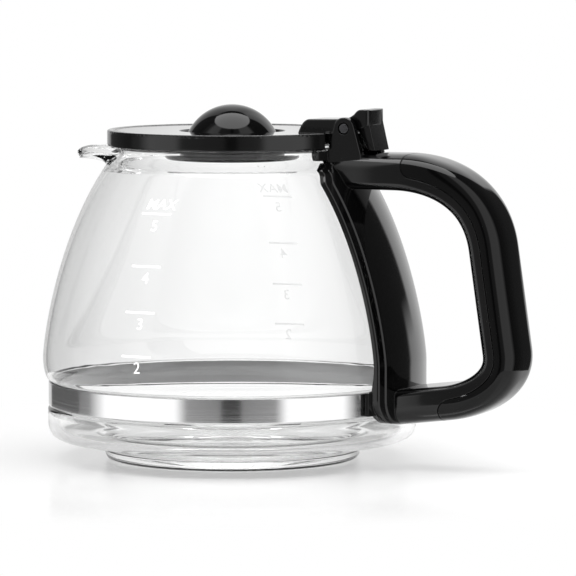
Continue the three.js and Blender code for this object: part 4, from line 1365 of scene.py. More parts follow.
    def cover_zone(self, gap: float) -> Skin:
        """Side view of the cover carried across the handle: two seams with round corners down to the parting plane.

        Args:
            gap: Clearance added all round.

        Returns:
            The closed zone.
        """
        start, end = self.top_seam - gap, self.length - self.low_seam + gap
        floor, corner = self.parting - gap, self.seam_corner + gap
        far = self.outer + 9.0
        a = np.linspace(0.0, 0.5 * np.pi, 12)
        first = np.column_stack([start + corner * (1 - np.cos(a)), floor + corner * (1 - np.sin(a))])
        last = np.column_stack([end - corner * (1 - np.cos(a)), floor + corner * (1 - np.sin(a))])[::-1]
        inner = np.linspace(start + corner, end - corner, 150)[1:-1]
        outer = np.linspace(end, start, 90)
        line = np.vstack([first, np.column_stack([inner, np.full(len(inner), floor)]), last,
                          np.column_stack([outer, np.full(len(outer), far)])])
        ring = self.at(line[:, 0], 0.0, line[:, 1])
        reach = np.array([-1.0, 1.0])[:, None, None] * np.array([0.0, self.arm_half + 5.0, 0.0])
        return tube(ring[None] + reach)


@dataclass
class HandleFrame:
    """Satin moulding: shield on the glass, arms, inner strap, hinge ears, neck hooks and claws over the band."""

    form: JugForm
    line: HandleLine
    glass_gap: float = 0.4
    seat_gap: float = 0.3
    bore_gap: float = 0.35
    band_radius: float = 60.5
    band_low: float = 17.8
    band_high: float = 25.5
    shield_thickness: float = 1.9
    shield_flange: float = 1.6
    flange_width: float = 3.2
    shield_top_half: float = 18.8
    shield_low_half: float = 19.5
    shield_low: float = 15.1
    shield_high: float = 98.4
    shield_corner: float = 8.0
    shield_shoulder: float = 1.9
    shield_top_cut: float = 7.2
    claw_half: float = 21.0
    claw_depth: float = 1.4
    claw_root: float = 0.75
    pin: Pair = HINGE
    pin_bore: float = 1.95
    ear_inner: float = 7.2
    ear_outer: float = 9.9
    ear_radius: float = 3.6
    ear_front: float = 5.9
    ear_back: float = 6.1
    ear_taper: float = 8.3
    ear_drop: float = 11.5
    pocket_radius: float = 12.84
    hook_half: float = 13.4
    hook_z: Pair = (99.2, 102.2)
    hook_depth: float = 2.8
    slot_half: Pair = (6.3, 3.0)
    anchor: Pair = (67.1, 69.5)
    anchor_bore: float = 4.4
    anchor_access: float = 17.2
    screw_radius: float = 1.5
    head_radius: float = 3.0
    screw_alongs: Pair = (58.0, -47.0)
    screw_seat: float = -3.2

    def shield(self) -> Skin:
        """Plate over the glass: radius = glass + gap + thickness, with a thin border and rounded lower corners.

        Returns:
            The closed skin.
        """
        low, high = self.shield_low, self.shield_high
        rise = np.linspace(0.0, 1.0, 150)
        z = low + (high - low) * (rise - 0.08 * np.sin(2.0 * np.pi * rise))
        wall = np.where(z < self.form.belly_z, self.form.belly_radius, self.form.radius_at(z))
        above = z > self.form.shoulder_z
        wall = np.where(above, np.interp(z, (self.form.shoulder_z, high - 1.9, high), (
            self.form.shoulder_radius, self.form.shoulder_radius - 0.9, self.form.shoulder_radius - 2.6)), wall)
        slope = np.clip((z - self.form.belly_z) / (self.form.shoulder_z - self.form.belly_z), 0.0, 1.0)
        full = self.shield_low_half + (self.shield_top_half - self.shield_low_half) * slope
        into = np.clip(1.0 - (z - low) / self.shield_corner, 0.0, 1.0)
        drawn = self.shield_shoulder * smoothstep(self.form.shoulder_z - 4.0, self.form.shoulder_z, z)
        cut = self.shield_top_cut * np.clip((z - self.form.shoulder_z) / (high - self.form.shoulder_z), 0.0, 1.0)
        half = full - self.shield_corner * (1.0 - np.sqrt(1.0 - into**2)) - np.maximum(drawn, cut)
        border = 1.0 - self.flange_width / self.shield_low_half
        edge = np.linspace(0.0, 1.0, 9) ** 2
        u = np.concatenate([1.0 - 0.03 * edge, np.linspace(0.965, border + 0.022, 6),
                            border + 0.02 * np.cos(np.linspace(0.0, np.pi, 9)),
                            np.linspace(border - 0.025, 0.02, 26)])
        u = np.concatenate([-u, [0.0], u[::-1]])
        rounding = 0.55 * (1.0 - np.sqrt(1.0 - np.clip((np.abs(u) - 0.97) / 0.03, 0.0, 1.0) ** 2))
        thick = self.shield_flange + (self.shield_thickness - self.shield_flange) * (
            1.0 - smoothstep(border - 0.02, border + 0.02, np.abs(u))) - rounding
        y = u[None, :] * half[:, None]
        outer_r = (wall + self.glass_gap)[:, None] + thick[None, :]
        inner_r = (wall - 4.0)[:, None] + 0.0 * y
        outer = np.stack([np.sqrt(outer_r**2 - y**2), y, z[:, None] + 0.0 * y], axis=-1)
        inner = np.stack([np.sqrt(inner_r**2 - y**2), y, z[:, None] + 0.0 * y], axis=-1)
        return tube(np.concatenate([outer, inner[:, ::-1]], axis=1))

    def ring_block(self, inner: float, outer: float, y0: float, y1: float, z0: float, z1: float) -> Skin:
        """A curved block round the jug: arcs of two radii between two angles, carried up from z0 to z1.

        Args:
            inner: Inner radius.
            outer: Outer radius.
            y0: Least y.
            y1: Greatest y.
            z0: Lower face.
            z1: Upper face.

        Returns:
            The closed skin.
        """
        middle = 0.5 * (inner + outer)
        angle = np.linspace(math.asin(y0 / middle), math.asin(y1 / middle), 24)
        arc = np.column_stack([np.cos(angle), np.sin(angle)])
        outline = softened(np.vstack([outer * arc, inner * arc[::-1]]), 0.35, 3, closed=True)
        return upright(outline, z0, z1)

    def ear(self, side: int) -> Skin:
        """One hinge ear: round head, straight tapered sides, carried through its thickness with rounded edges.

        Args:
            side: -1 or 1, the side of the ear along Y.

        Returns:
            The closed skin.
        """
        x, z = self.pin
        touch = [math.acos(self.ear_radius / math.hypot(foot, self.ear_taper)) - math.atan2(self.ear_taper, foot)
                 for foot in (self.ear_back, self.ear_front)]
        turn = np.linspace(touch[0], np.pi - touch[1], 40)
        head = np.column_stack([x + self.ear_radius * np.cos(turn), z + self.ear_radius * np.sin(turn)])
        foot = z - self.ear_drop
        outline = np.vstack([
            [(x - self.ear_front, foot), (x + self.ear_back, foot), (x + self.ear_back, z - self.ear_taper)], head,
            [(x - self.ear_front, z - self.ear_taper)]])
        y0, y1 = sorted((side * self.ear_inner, side * self.ear_outer))
        return pillow(softened(outline, 0.5, 3, closed=True), y0, y1, 0.45)

    def build(self) -> bpy.types.Object:
        """Bar without the cover, joined with shield, hooks, claws and ears, then cut free for all that fits in it.

        Returns:
            The frame of the handle.
        """
        x, z = self.pin
        hook_outer = self.form.neck_radius + self.glass_gap + self.hook_depth
        claw_outer = self.band_radius + self.glass_gap + self.claw_depth
        claw_root = self.claw_root * self.shield_low_half
        claws = [self.ring_block(self.band_radius - 1.0, claw_outer, y0, y1, self.band_low + 0.4, self.band_high + 0.2)
                 for y0, y1 in ((-self.claw_half, -claw_root), (claw_root, self.claw_half))]
        frame_body = self.line.whole_bar().to_object("handle_moulding")
        combine(frame_body, [self.line.cover_zone(self.seat_gap)], Join.CUT)
        combine(frame_body, [
            self.shield(),
            self.ring_block(self.form.neck_radius - 3.0, hook_outer, -self.hook_half, self.hook_half, *self.hook_z),
            *claws, self.ear(-1), self.ear(1)], Join.ADD)
        middle = 0.5 * (self.band_low + self.band_high)
        wide, tall = self.slot_half
        cuts = [
            self.envelope(),
            rod(self.pocket_radius, np.array([x, -self.ear_inner, z]), ALONG_Y, 2.0 * self.ear_inner, columns=96),
            rod(self.pin_bore, np.array([x, -self.ear_outer - 1.0, z]), ALONG_Y, 2.0 * self.ear_outer + 2.0),
            block(self.band_radius - 4.0, self.anchor[0], -wide, wide, middle - tall, middle + tall),
            rod(self.screw_radius + self.bore_gap, np.array([self.anchor[0] - 1.0, 0.0, middle]), ALONG_X,
                self.anchor_bore),
            rod(self.head_radius + 0.5, np.array([self.anchor[1], 0.0, middle]), ALONG_X, self.anchor_access),
        ]
        for along in self.screw_places():
            out = self.line.out_at(along)
            face = self.line.at(along, 0.0, -self.line.inner - 1.0)
            cuts.append(rod(self.screw_radius + self.bore_gap, face, out, self.line.strap + 2.0))
            cuts.append(rod(self.head_radius + self.bore_gap, face, out,
                            self.screw_seat + self.seat_gap + self.line.inner + 1.0))
        return combine(frame_body, cuts, Join.CUT)

    def screw_places(self) -> list[float]:
        """Distances of the cover screws along the handle line."""
        return [self.screw_alongs[0], self.line.length + self.screw_alongs[1]]

    def envelope(self) -> Skin:
        """What the handle stays clear of: jug and band turned with the glass gap added.

        Returns:
            The closed skin.
        """
        line = self.form.outside(self.glass_gap, self.band_radius)
        line = line[line[:, 1] > 3.0]
        low = np.array([(0.0, -1.0), (self.form.foot_radius, -1.0)])
        top = np.array([(0.0, self.form.rim_z + self.glass_gap)])
        return revolved(np.vstack([low, resampled(line, 160), top]), 192)

    def dress(self, obj: bpy.types.Object) -> bpy.types.Object:
        """Satin black."""
        return finished(obj, SATIN_BLACK.material(), Body.JUG, Slot.SATIN, "handle_frame")


@dataclass
class HandleCover:
    """Gloss shell that closes the back of the grip, with two screw bosses inside."""

    line: HandleLine
    screw_places: list[float] = field(default_factory=list)
    wall: float = 2.2
    boss_radius: float = 3.1
    bore_radius: float = 1.85
    thread: float = 5.3

    def build(self) -> bpy.types.Object:
        """The bar kept inside the cover zone, hollowed by a smaller bar, with bored bosses.

        Returns:
            The cover.
        """
        line = self.line
        along = np.linspace(line.top_seam + self.wall, line.length - line.low_seam - self.wall, 90)
        hollow = line.bar(along, line.half_width(along) - self.wall, line.parting - 2.0, line.parting,
                          line.outer - self.wall, 0.4)
        shell = line.whole_bar().to_object("grip_cover")
        combine(shell, [line.cover_zone(0.0)], Join.KEEP)
        combine(shell, [hollow], Join.CUT)
        feet = [line.at(place, 0.0, line.parting) for place in self.screw_places]
        outs = [line.out_at(place) for place in self.screw_places]
        reach = line.outer - line.parting - 0.5 * self.wall
        combine(shell, [rod(self.boss_radius, foot, out, reach) for foot, out in zip(feet, outs)], Join.ADD)
        return combine(shell, [rod(self.bore_radius, foot - out, out, self.thread + 1.0)
                               for foot, out in zip(feet, outs)], Join.CUT)

    def dress(self, obj: bpy.types.Object) -> bpy.types.Object:
        """Gloss black."""
        return finished(obj, GLOSS_BLACK.material(), Body.JUG, Slot.GLOSS, "handle_cover")


@dataclass
class CoverScrew:
    """Pan-head screw through the strap into a boss of the cover."""

    name: str
    node: str
    seat: Array
    direction: Array
    length: float = 6.8
    radius: float = 1.5
    head_radius: float = 3.0
    head_height: float = 2.2
    recess_half: Pair = (1.7, 0.3)
    recess_depth: float = 1.1

    def build(self) -> bpy.types.Object:
        """A turned section with a domed head, set on its seat, with a cross recess cut into the head.

        Returns:
            The screw.
        """
        top = bezier([(0.0, -self.head_height), (0.8 * self.head_radius, -self.head_height),
                      (self.head_radius, -0.3 * self.head_height)], 10)
        shank = np.array([(self.head_radius, 0.0), (self.radius, 0.0), (self.radius, self.length - 1.0),
                          (0.5 * self.radius, self.length), (0.0, self.length)])
        turned = revolved(softened(np.vstack([top, shank]), 0.2, 3), 48)
        cross = [block(-x, x, -y, y, -self.head_height - 1.0, -self.head_height + self.recess_depth)
                 for x, y in (self.recess_half, self.recess_half[::-1])]
        obj = self.turned_to_axis(turned).to_object(self.name)
        return combine(obj, [self.turned_to_axis(part) for part in cross], Join.CUT)

    def turned_to_axis(self, skin: Skin) -> Skin:
        """Turns +Z of a skin to the screw's direction and moves it to the seat.

        Args:
            skin: Skin that stands on the origin.

        Returns:
            The skin in its place.
        """
        axis = self.direction / np.linalg.norm(self.direction)
        other = np.cross(ALONG_Y, axis)
        x, y, z = skin.points.T
        points = self.seat + x[:, None] * other + y[:, None] * ALONG_Y + z[:, None] * axis
        return Skin(points, skin.loops, skin.sizes)

    def dress(self, obj: bpy.types.Object, finish: bpy.types.Material) -> bpy.types.Object:
        """Screw steel."""
        return finished(obj, finish, Body.JUG, Slot.STEEL, self.node)


@dataclass
class HingePin:
    """Plain pin through both ears and the knuckle of the lid."""

    place: Pair = HINGE
    radius: float = 1.6
    half_length: float = 9.9
    end_round: float = 0.35

    def build(self) -> bpy.types.Object:
        """A round bar along Y with rounded ends."""
        start = np.array([self.place[0], -self.half_length, self.place[1]])
        return rod(self.radius, start, ALONG_Y, 2.0 * self.half_length, self.end_round).to_object("pin")

    def dress(self, obj: bpy.types.Object, finish: bpy.types.Material) -> bpy.types.Object:
        """Dark pin steel."""
        return finished(obj, finish, Body.JUG, Slot.STEEL, "hinge_pin")


@dataclass
class Lid:
    """Disc with skirt, drain collar and locating ring, hinge arm with knuckle and thumb lever."""

    rim_z: float = 104.5
    radius: float = 41.0
    skirt_inner: float = 39.6
    skirt_bottom: float = 102.8
    plate: Pair = (104.8, 106.3)
    top: float = 108.1
    edge_width: float = 1.9
    sunk: float = 0.35
    well: float = 17.4
    plug: tuple[float, float, float] = (33.0, 34.2, 1.3)
    collar: Pair = (14.2, 15.6)
    collar_bottom: float = 98.6
    groove: float = 0.5
    pin: Pair = HINGE
    pin_bore: float = 1.95
    arm_half: float = 6.2
    arm_reach: float = 18.3
    knuckle: float = 3.4
    lever_height: float = 6.1
    lever_back: float = 7.6
    lever_round: float = 1.6
    stem_inset: float = 0.5
    stem_back: float = 9.4
    stem_drop: float = 7.2
    notch: Pair = (37.9, 12.3)

    def section(self) -> Array:
        """Section of the disc: skirt, raised edge, well round the dome, collar with snap groove, locating ring.

        Returns:
            Points of (radius, height), closed on itself.
        """
        low, high = self.plate
        inner_edge = self.radius - self.edge_width
        groove_z = self.collar_bottom + 0.45 * (low - self.collar_bottom)
        collar_in, collar_out = self.collar
        plug_in, plug_out, plug_drop = self.plug
        corners = np.array([
            (self.skirt_inner, self.skirt_bottom), (self.radius - 0.2, self.skirt_bottom),
            (self.radius, self.skirt_bottom + 0.5), (self.radius, self.top), (inner_edge, self.top - 0.1),
            (inner_edge - 0.5, self.top - self.sunk), (self.well, self.top - self.sunk - 0.1),
            (self.well - 0.6, high - 0.2), (collar_in + 0.8, high - 0.2), (collar_in, high - 0.8),
            (collar_in, self.collar_bottom), (collar_out, self.collar_bottom),
            (collar_out, groove_z - 0.7), (collar_out - self.groove, groove_z - 0.5),
            (collar_out - self.groove, groove_z + 0.5), (collar_out, groove_z + 0.7), (collar_out, low - 0.1),
            (plug_in, low - 0.1), (plug_in, low - plug_drop), (plug_out, low - plug_drop), (plug_out, low),
            (self.skirt_inner, low)])
        cut = np.full(len(corners), 0.25)
        cut[[3, 4]] = 0.8
        cut[[5, 6]] = 0.4
        line = softened(corners, cut, 7, closed=True)
        return np.vstack([line, line[:1]])

    def lever(self) -> Array:
        """Side view of arm, knuckle and lever head.

        Returns:
            Closed outline of (x, z) points.
        """
        x, z = self.pin
        foot = self.plate[0] + 0.4 - z
        reach, tall, back = self.arm_reach, self.lever_height, self.lever_back
        turn = np.linspace(-0.2, -0.8 * np.pi, 24)
        outline = np.vstack([
            [(-reach, foot), (-reach + 0.3, self.plate[1] + 1.0 - z)],
            bezier([(-reach + 0.3, self.plate[1] + 1.0 - z), (-reach + 1.8, 2.5), (-reach + 4.4, 2.7)], 10)[1:],
            bezier([(-2.4, 2.9), (0.4, 3.0), (2.2, tall - 1.4)], 10),
            bezier([(2.2, tall - 1.4), (3.2, tall), (4.6, tall)], 8)[1:],
            bezier([(back - 0.9, tall - 0.05), (back, tall - 0.1), (back, tall - 0.9)], 6),
            [(back, 1.2), (self.knuckle, -0.6)],
            self.knuckle * np.column_stack([np.cos(turn), np.sin(turn)]),
            [(-self.knuckle - 2.4, foot)]])
        return softened(outline, 0.2, 3, closed=True) + np.array([x, z])

    def stem(self) -> Array:
        """Side view of the stem below the lever head.

        Returns:
            Closed outline of (x, z) points.
        """
        x, z = self.pin
        corners = [(1.0, 2.6), (self.knuckle, -0.6), (self.stem_back - 2.4, -self.stem_drop),
                   (self.stem_back, -self.stem_drop), (self.lever_back - self.stem_inset, 2.6)]
        return softened(corners, 0.3, 4, closed=True) + np.array([x, z])

    def plan(self) -> Skin:
        """Top view of arm and lever head with rounded corners at the back, carried up past both.

        Returns:
            The closed skin.
        """
        x, z = self.pin
        back, half, soft = self.lever_back, self.arm_half, self.lever_round
        front = -self.arm_reach - 1.0
        outline = np.vstack([
            [(front, -half)],
            bezier([(back - soft, -half), (back - 0.3, -half), (back - 0.2, -half + soft)], 14),
            bezier([(back - 0.2, -half + soft), (back, 0.0), (back - 0.2, half - soft)], 9)[1:],
            bezier([(back - 0.2, half - soft), (back - 0.3, half), (back - soft, half)], 14)[1:],
            [(front, half)]])
        return upright(outline + np.array([x, 0.0]), z - self.stem_drop - 2.0, z + self.lever_height + 2.0)

    def build(self) -> bpy.types.Object:
        """The disc with its notch, joined with arm, head and stem, and bored for the pin.

        Returns:
            The lid.
        """
        x, z = self.pin
        head = pillow(self.lever(), -self.arm_half, self.arm_half, 0.5).to_object("lid_arm")
        combine(head, [self.plan()], Join.KEEP)
        stem_half = self.arm_half - self.stem_inset
        combine(head, [pillow(self.stem(), -stem_half, stem_half, 0.35)], Join.ADD)
        disc = revolved(self.section(), 288).to_object("lid_moulding")
        front, half = self.notch
        combine(disc, [block(front, self.radius + 1.0, -half, half, self.skirt_bottom - 1.0, self.top + 1.0)], Join.CUT)
        combine(disc, [head], Join.ADD)
        bore = rod(self.pin_bore, np.array([x, -self.arm_half - 1.0, z]), ALONG_Y, 2.0 * self.arm_half + 2.0)
        return combine(disc, [bore], Join.CUT)

    def dress(self, obj: bpy.types.Object) -> bpy.types.Object:
        """Satin black with a pebbled edge."""
        return finished(obj, LID_BLACK.material(), Body.LID, Slot.SATIN, "lid")


@dataclass
class Dome:
    """Gloss cap over the drain opening, on four legs that reach down inside the collar."""

    radius: float = 14.6
    height: float = 9.4
    wall: float = 1.8
    edge_z: float = 106.9
    plate_top: float = 106.3
    collar_inner: float = 14.2
    collar_bottom: float = 98.6
    leg_width: float = 5.0
    leg_depth: float = 1.7
    seat_gap: float = 0.3

    def section(self) -> Array:
        """Two arcs of spheres about one middle, closed by a rounded edge.

        Returns:
            Points of (radius, height).
        """
        sphere = (self.radius**2 + self.height**2) / (2.0 * self.height)
        middle = self.edge_z + self.height - sphere
        inner = np.linspace(0.0, math.acos((self.edge_z - middle) / (sphere - self.wall)), 28)
        outer = np.linspace(math.asin(self.radius / sphere), 0.0, 48)
        line = np.vstack([
            np.column_stack([(sphere - self.wall) * np.sin(inner), middle + (sphere - self.wall) * np.cos(inner)]),
            np.column_stack([sphere * np.sin(outer), middle + sphere * np.cos(outer)])])
        return softened(line, 0.3, 4)

    def leg(self, turn: float) -> list[Skin]:
        """One leg and the pad it stands on, turned about +Z.

        Args:
            turn: Radians about +Z.

        Returns:
            Leg and pad.
        """
        half = 0.5 * self.leg_width
        inside = self.collar_inner - self.seat_gap
        outer = math.sqrt(inside**2 - half**2)
        parts = [block(outer - self.leg_depth, outer, -half, half, self.collar_bottom + 0.4, self.edge_z + 1.2, 0.3),
                 block(inside - self.leg_depth - 0.4, self.radius - 0.5, 0.1 - half, half - 0.1,
                       self.plate_top + self.seat_gap, self.edge_z + 0.45)]
        c, s = math.cos(turn), math.sin(turn)
        about_z = np.array([[c, s, 0.0], [-s, c, 0.0], [0.0, 0.0, 1.0]])
        return [Skin(part.points @ about_z, part.loops, part.sizes) for part in parts]

    def build(self) -> bpy.types.Object:
        """The cap joined with its four legs.

        Returns:
            The dome.
        """
        cap = revolved(self.section(), 160).to_object("steam_dome")
        legs = [part for k in range(4) for part in self.leg(math.radians(45.0 + 90.0 * k))]
        return combine(cap, legs, Join.ADD)

    def dress(self, obj: bpy.types.Object) -> bpy.types.Object:
        """Gloss black."""
        return finished(obj, GLOSS_BLACK.material(), Body.LID, Slot.GLOSS, "lid_dome")


@dataclass
class DripDish:
    """Dish under the lid: snap ring round the collar, floor with drain holes, flared rim."""

    radius: float = 22.0
    wall: float = 1.3
    rim_height: float = 2.6
    ring_inner: float = 15.9
    ring_top: float = 104.4
    floor: Pair = (97.0, 98.3)
    groove_z: float = 101.39
    bead: float = 0.45
    hole_radius: float = 2.1
    hole_circle: float = 9.0
    holes: int = 6

    def build(self) -> bpy.types.Object:
        """A turned section with six holes through its floor.

        Returns:
            The dish.
        """
        low, high = self.floor
        ring_in, ring_out = self.ring_inner, self.ring_inner + self.wall
        line = np.vstack([
            [(0.0, low)],
            bezier([(self.radius - 3.0, low), (self.radius - 0.2, low),
                    (self.radius, low + 0.7 * self.rim_height)], 16),
            [(self.radius, low + self.rim_height), (self.radius - self.wall, low + self.rim_height),
             (self.radius - 3.4, high), (ring_out, high), (ring_out, self.ring_top), (ring_in, self.ring_top),
             (ring_in, self.groove_z + 0.3), (ring_in - self.bead, self.groove_z + 0.1),
             (ring_in - self.bead, self.groove_z - 0.1), (ring_in, self.groove_z - 0.3), (ring_in, high), (0.0, high)]])
        dish = revolved(softened(line, 0.25, 4), 144).to_object("dish")
        turn = np.arange(self.holes) * 2.0 * np.pi / self.holes
        starts = np.column_stack([self.hole_circle * np.cos(turn), self.hole_circle * np.sin(turn),
                                  np.full(self.holes, low - 1.0)])
        return combine(dish, [rod(self.hole_radius, start, ALONG_Z, self.wall + 2.0) for start in starts], Join.CUT)

    def dress(self, obj: bpy.types.Object) -> bpy.types.Object:
        """Satin black."""
        return finished(obj, SATIN_BLACK.material(), Body.LID, Slot.SATIN, "drip_dish")


# Grey of the cards by degrees to the right of the camera: as mirrored in low and in high pieces, and through glass.
CARDS_BEHIND_LEFT = ((-180, 0.75), (-175, 0.72), (-170, 0.66), (-166, 0.6), (-158, 0.53), (-138, 0.45))
CARDS_BEHIND_RIGHT = ((158, 0.58), (167, 0.63), (171, 0.68), (175, 0.73), (180, 0.75))
CARDS_LOW = CARDS_BEHIND_LEFT + (
    (-136, 0.07), (-95, 0.07), (-93, 0.15), (-85, 0.18), (-72, 0.82), (-29, 0.82), (-23, 0.21), (-6, 0.16),
    (-4, 0.035), (4, 0.035), (6, 0.16), (23, 0.21), (29, 0.82), (62, 0.82), (72, 0.06), (109, 0.05), (110.5, 0.8),
    (146, 0.85)) + CARDS_BEHIND_RIGHT
CARDS_NARROWED = {-29: -47, -23: -41, 109: 119, 110.5: 120.5}
CARDS_HIGH = tuple((CARDS_NARROWED.get(degrees, degrees), grey) for degrees, grey in CARDS_LOW)
CARDS_THROUGH = CARDS_BEHIND_LEFT + (
    (-125, 0.3), (-100, 0.3), (-80, 0.58), (-40, 0.6), (40, 0.6), (80, 0.58), (95, 0.3), (110, 0.3),
    (130, 0.55)) + CARDS_BEHIND_RIGHT


@dataclass
class Studio:
    """Camera, pale floor, a ring of light and dark cards round the object, lamps and a white surround."""

    azimuth: float = math.radians(25.0)
    elevation: float = math.radians(4.887)
    distance: float = 1.5055
    focal_px: float = 4577.0
    image_px: float = 576.0
    sensor_mm: float = 36.0
    aim_right: float = 0.0183
    aim_up: float = 0.0558
    floor_radius: float = 0.9
    floor_grid: tuple[int, int] = (40, 96)
    floor_drop: float = 0.05
    floor_grey: float = 0.34
    floor_glow: float = 0.57
    floor_mirror: float = 0.27
    mirror_grey: float = 0.97
    mirror_roughness: float = 0.14
    white_from: Pair = (0.12, 0.175)
    tent_radius: float = 0.18
    tent_height: float = 0.42
    tent_grid: tuple[int, int] = (12, 180)
    card_strength: float = 1.47
    card_change: Pair = (0.045, 0.07)
    lamp_size: Pair = (2.0, 0.93)
    lamp_height: float = 1.1
    lamp_forward: float = 0.07
    lamp_watts: float = 23.0
    light_grey: float = 0.42
    gloss_grey: float = 0.05

    def towards(self, turn: float) -> Vector:
        """Level direction that many radians to the right of the direction to the camera.

        Args:
            turn: Radians to the right.

        Returns:
            Unit direction.
        """
        camera = Vector((math.sin(self.azimuth), -math.cos(self.azimuth), 0.0))
        right = Vector((math.cos(self.azimuth), math.sin(self.azimuth), 0.0))
        return math.cos(turn) * camera + math.sin(turn) * right

    def camera(self) -> None:
        """Camera at the photograph's angle, aimed so that the object sits as framed there."""
        data = bpy.data.cameras.new("camera")
        data.sensor_width = self.sensor_mm
        data.lens = self.focal_px / self.image_px * self.sensor_mm
        data.clip_end = 50.0
        obj = bpy.data.objects.new("camera", data)
        bpy.context.scene.collection.objects.link(obj)
        target = self.towards(0.5 * math.pi) * self.aim_right + Vector((0.0, 0.0, self.aim_up))
        sight = self.towards(0.0) * math.cos(self.elevation) + Vector((0.0, 0.0, math.sin(self.elevation)))
        obj.location = target + sight * self.distance
        obj.rotation_euler = (-sight).to_track_quat("-Z", "Y").to_euler()
        bpy.context.scene.camera = obj

    def floor(self) -> None:
        """A round pale floor that shades near the object and turns plain white further out."""
        rows, cols = self.floor_grid
        radius = np.linspace(0.0, self.floor_radius / MM, rows)
        turn = np.linspace(0.0, 2.0 * np.pi, cols, endpoint=False)
        points = np.stack([radius[:, None] * np.cos(turn), radius[:, None] * np.sin(turn),
                           np.full((rows, cols), -self.floor_drop)], axis=-1)
        obj = open_skin(points, turned=True).to_object("floor")
        material, sheet = new_material("pale_floor")
        far = sheet.span(sheet.length(sheet.place()), self.white_from, ease="SMOOTHSTEP")
        matt = sheet.add("ShaderNodeBsdfDiffuse", {"Color": (self.floor_grey,) * 3 + (1.0,)})
        both = sheet.add("ShaderNodeAddShader", {0: matt.outputs["BSDF"], 1: sheet.glow(WHITE, self.floor_glow)})
        mirror = sheet.add("ShaderNodeBsdfGlossy", {
            "Color": (self.mirror_grey,) * 3 + (1.0,), "Roughness": self.mirror_roughness})
        near = sheet.mixed(self.floor_mirror, both.outputs["Shader"], mirror.outputs["BSDF"])
        sheet.surface(sheet.mixed(far, near, sheet.glow(WHITE, 1.0)))
        obj.data.materials.append(material)

    def tent(self) -> None:
        """Cards round the object, seen only in gloss and glass: soft white panels with dark gaps between them.

        Mirrors see the low table, which passes into the high one with height, and rays through glass see a third.
        """
        rows, cols = self.tent_grid
        turn = np.linspace(0.0, 2.0 * np.pi, cols, endpoint=False)
        height = np.linspace(0.0, self.tent_height / MM, rows)[:, None]
        radius = self.tent_radius / MM
        points = np.stack([radius * np.cos(turn) + 0.0 * height, radius * np.sin(turn) + 0.0 * height,
                           height + 0.0 * turn], axis=-1)
        obj = open_skin(points).to_object("cards")
        material, sheet = new_material("card_light")
        turned = sheet.add("ShaderNodeMapping", {
            "Vector": sheet.place(), "Rotation": (0.0, 0.0, 0.5 * math.pi - self.azimuth)})
        apart = sheet.add("ShaderNodeSeparateXYZ", {"Vector": turned.outputs["Vector"]}).outputs
        part = sheet.span(sheet.calc("ARCTAN2", apart["Y"], apart["X"]), (-math.pi, math.pi))
        low, high, through = (sheet.ramp(part, [((degrees + 180.0) / 360.0, grey) for degrees, grey in table])
                              for table in (CARDS_LOW, CARDS_HIGH, CARDS_THROUGH))
        mirrored = sheet.blend(sheet.span(apart["Z"], self.card_change), low, high)
        path = sheet.add("ShaderNodeLightPath").outputs
        sheet.surface(sheet.glow(sheet.blend(path["Is Transmission Ray"], mirrored, through), self.card_strength))
        obj.data.materials.append(material)
        obj.visible_camera = False
        obj.visible_diffuse = False
        obj.visible_shadow = False

    def lamps(self) -> None:
        """One long soft lamp overhead, its length across the view."""
        data = bpy.data.lights.new("overhead", "AREA")
        data.shape = "RECTANGLE"
        data.size, data.size_y = self.lamp_size
        data.energy = self.lamp_watts
        obj = bpy.data.objects.new("overhead", data)
        bpy.context.scene.collection.objects.link(obj)
        obj.location = self.towards(0.0) * self.lamp_forward + Vector((0.0, 0.0, self.lamp_height))
        obj.rotation_euler = (0.0, 0.0, self.azimuth)

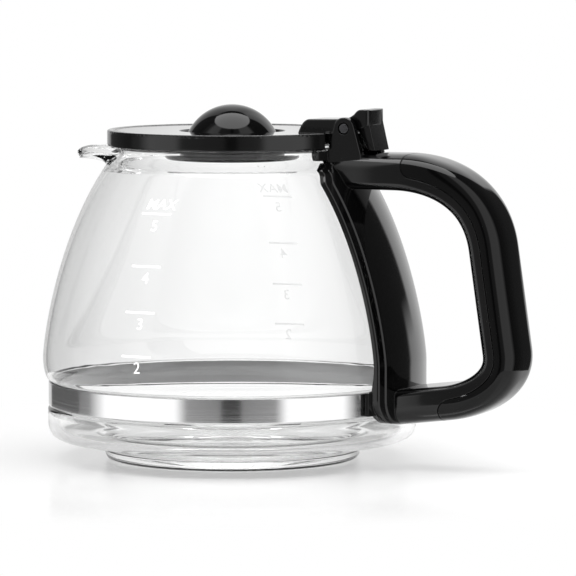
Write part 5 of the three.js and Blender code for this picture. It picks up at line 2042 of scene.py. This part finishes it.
    def surround(self) -> None:
        """White to the camera and through glass, dim in gloss, a quiet grey as light on the object."""
        world = bpy.data.worlds.new("surround")
        world.use_nodes = True
        sheet = NodeSheet(world.node_tree)
        path = sheet.add("ShaderNodeLightPath").outputs
        grey, dim, white = (
            sheet.add("ShaderNodeBackground", {"Color": WHITE, "Strength": strength}).outputs["Background"]
            for strength in (self.light_grey, self.gloss_grey, 1.0))
        seen = sheet.calc("MAXIMUM", path["Is Camera Ray"], path["Is Transmission Ray"])
        unseen = sheet.mixed(path["Is Glossy Ray"], grey, dim)
        sheet.add("ShaderNodeOutputWorld", {"Surface": sheet.mixed(seen, unseen, white)})
        bpy.context.scene.world = world

    def build(self) -> None:
        """Sets up the whole studio."""
        self.camera()
        self.floor()
        self.tent()
        self.lamps()
        self.surround()
        bpy.context.scene.view_settings.view_transform = "Standard"


def clear_start() -> None:
    """Removes whatever Blender's start file holds besides the frame."""
    kept = set(frame["nodes"].values()) | set(frame["bodies"].values())
    for obj in [obj for obj in bpy.data.objects if obj not in kept]:
        bpy.data.objects.remove(obj)


def hidden_steel(finish: bpy.types.Material) -> None:
    """Steel on the yoke and the band screw, which keep their CAD shape inside the lower arm."""
    for name in ("band_yoke", "band_screw"):
        node = frame["nodes"][name]
        node.data.materials.clear()
        node.data.materials.append(finish)
        LOG.info("%s: CAD node with screw steel", name)


def main() -> None:
    """Builds every sub-assembly in order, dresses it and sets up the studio."""
    logging.basicConfig(level=logging.INFO, format="%(name)s %(message)s")
    clear_start()
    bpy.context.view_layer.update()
    form, line = JugForm(), HandleLine()
    screw_steel = PolishedSteel("screw_steel", (0.42, 0.42, 0.43, 1.0), (0.18, 0.34), (900.0, 900.0, 900.0)).material()
    pin_steel = PolishedSteel("pin_steel", (0.10, 0.10, 0.105, 1.0), (0.22, 0.36), (700.0, 700.0, 700.0)).material()
    for part in (GlassJug(form), CupMarks(form), ClampBand()):
        part.dress(part.build())
    moulding = HandleFrame(form, line)
    moulding.dress(moulding.build())
    cover = HandleCover(line, moulding.screw_places())
    cover.dress(cover.build())
    for name, node, along in zip(("strap_screw_upper", "strap_screw_lower"), ("cover_screw_upper", "cover_screw_lower"),
                                 moulding.screw_places()):
        screw = CoverScrew(name, node, line.at(along, 0.0, moulding.screw_seat), line.out_at(along))
        screw.dress(screw.build(), screw_steel)
    pin = HingePin()
    pin.dress(pin.build(), pin_steel)
    hidden_steel(screw_steel)
    for part in (Lid(), Dome(), DripDish()):
        part.dress(part.build())
    Studio().build()


if __name__ == "__main__":
    main()
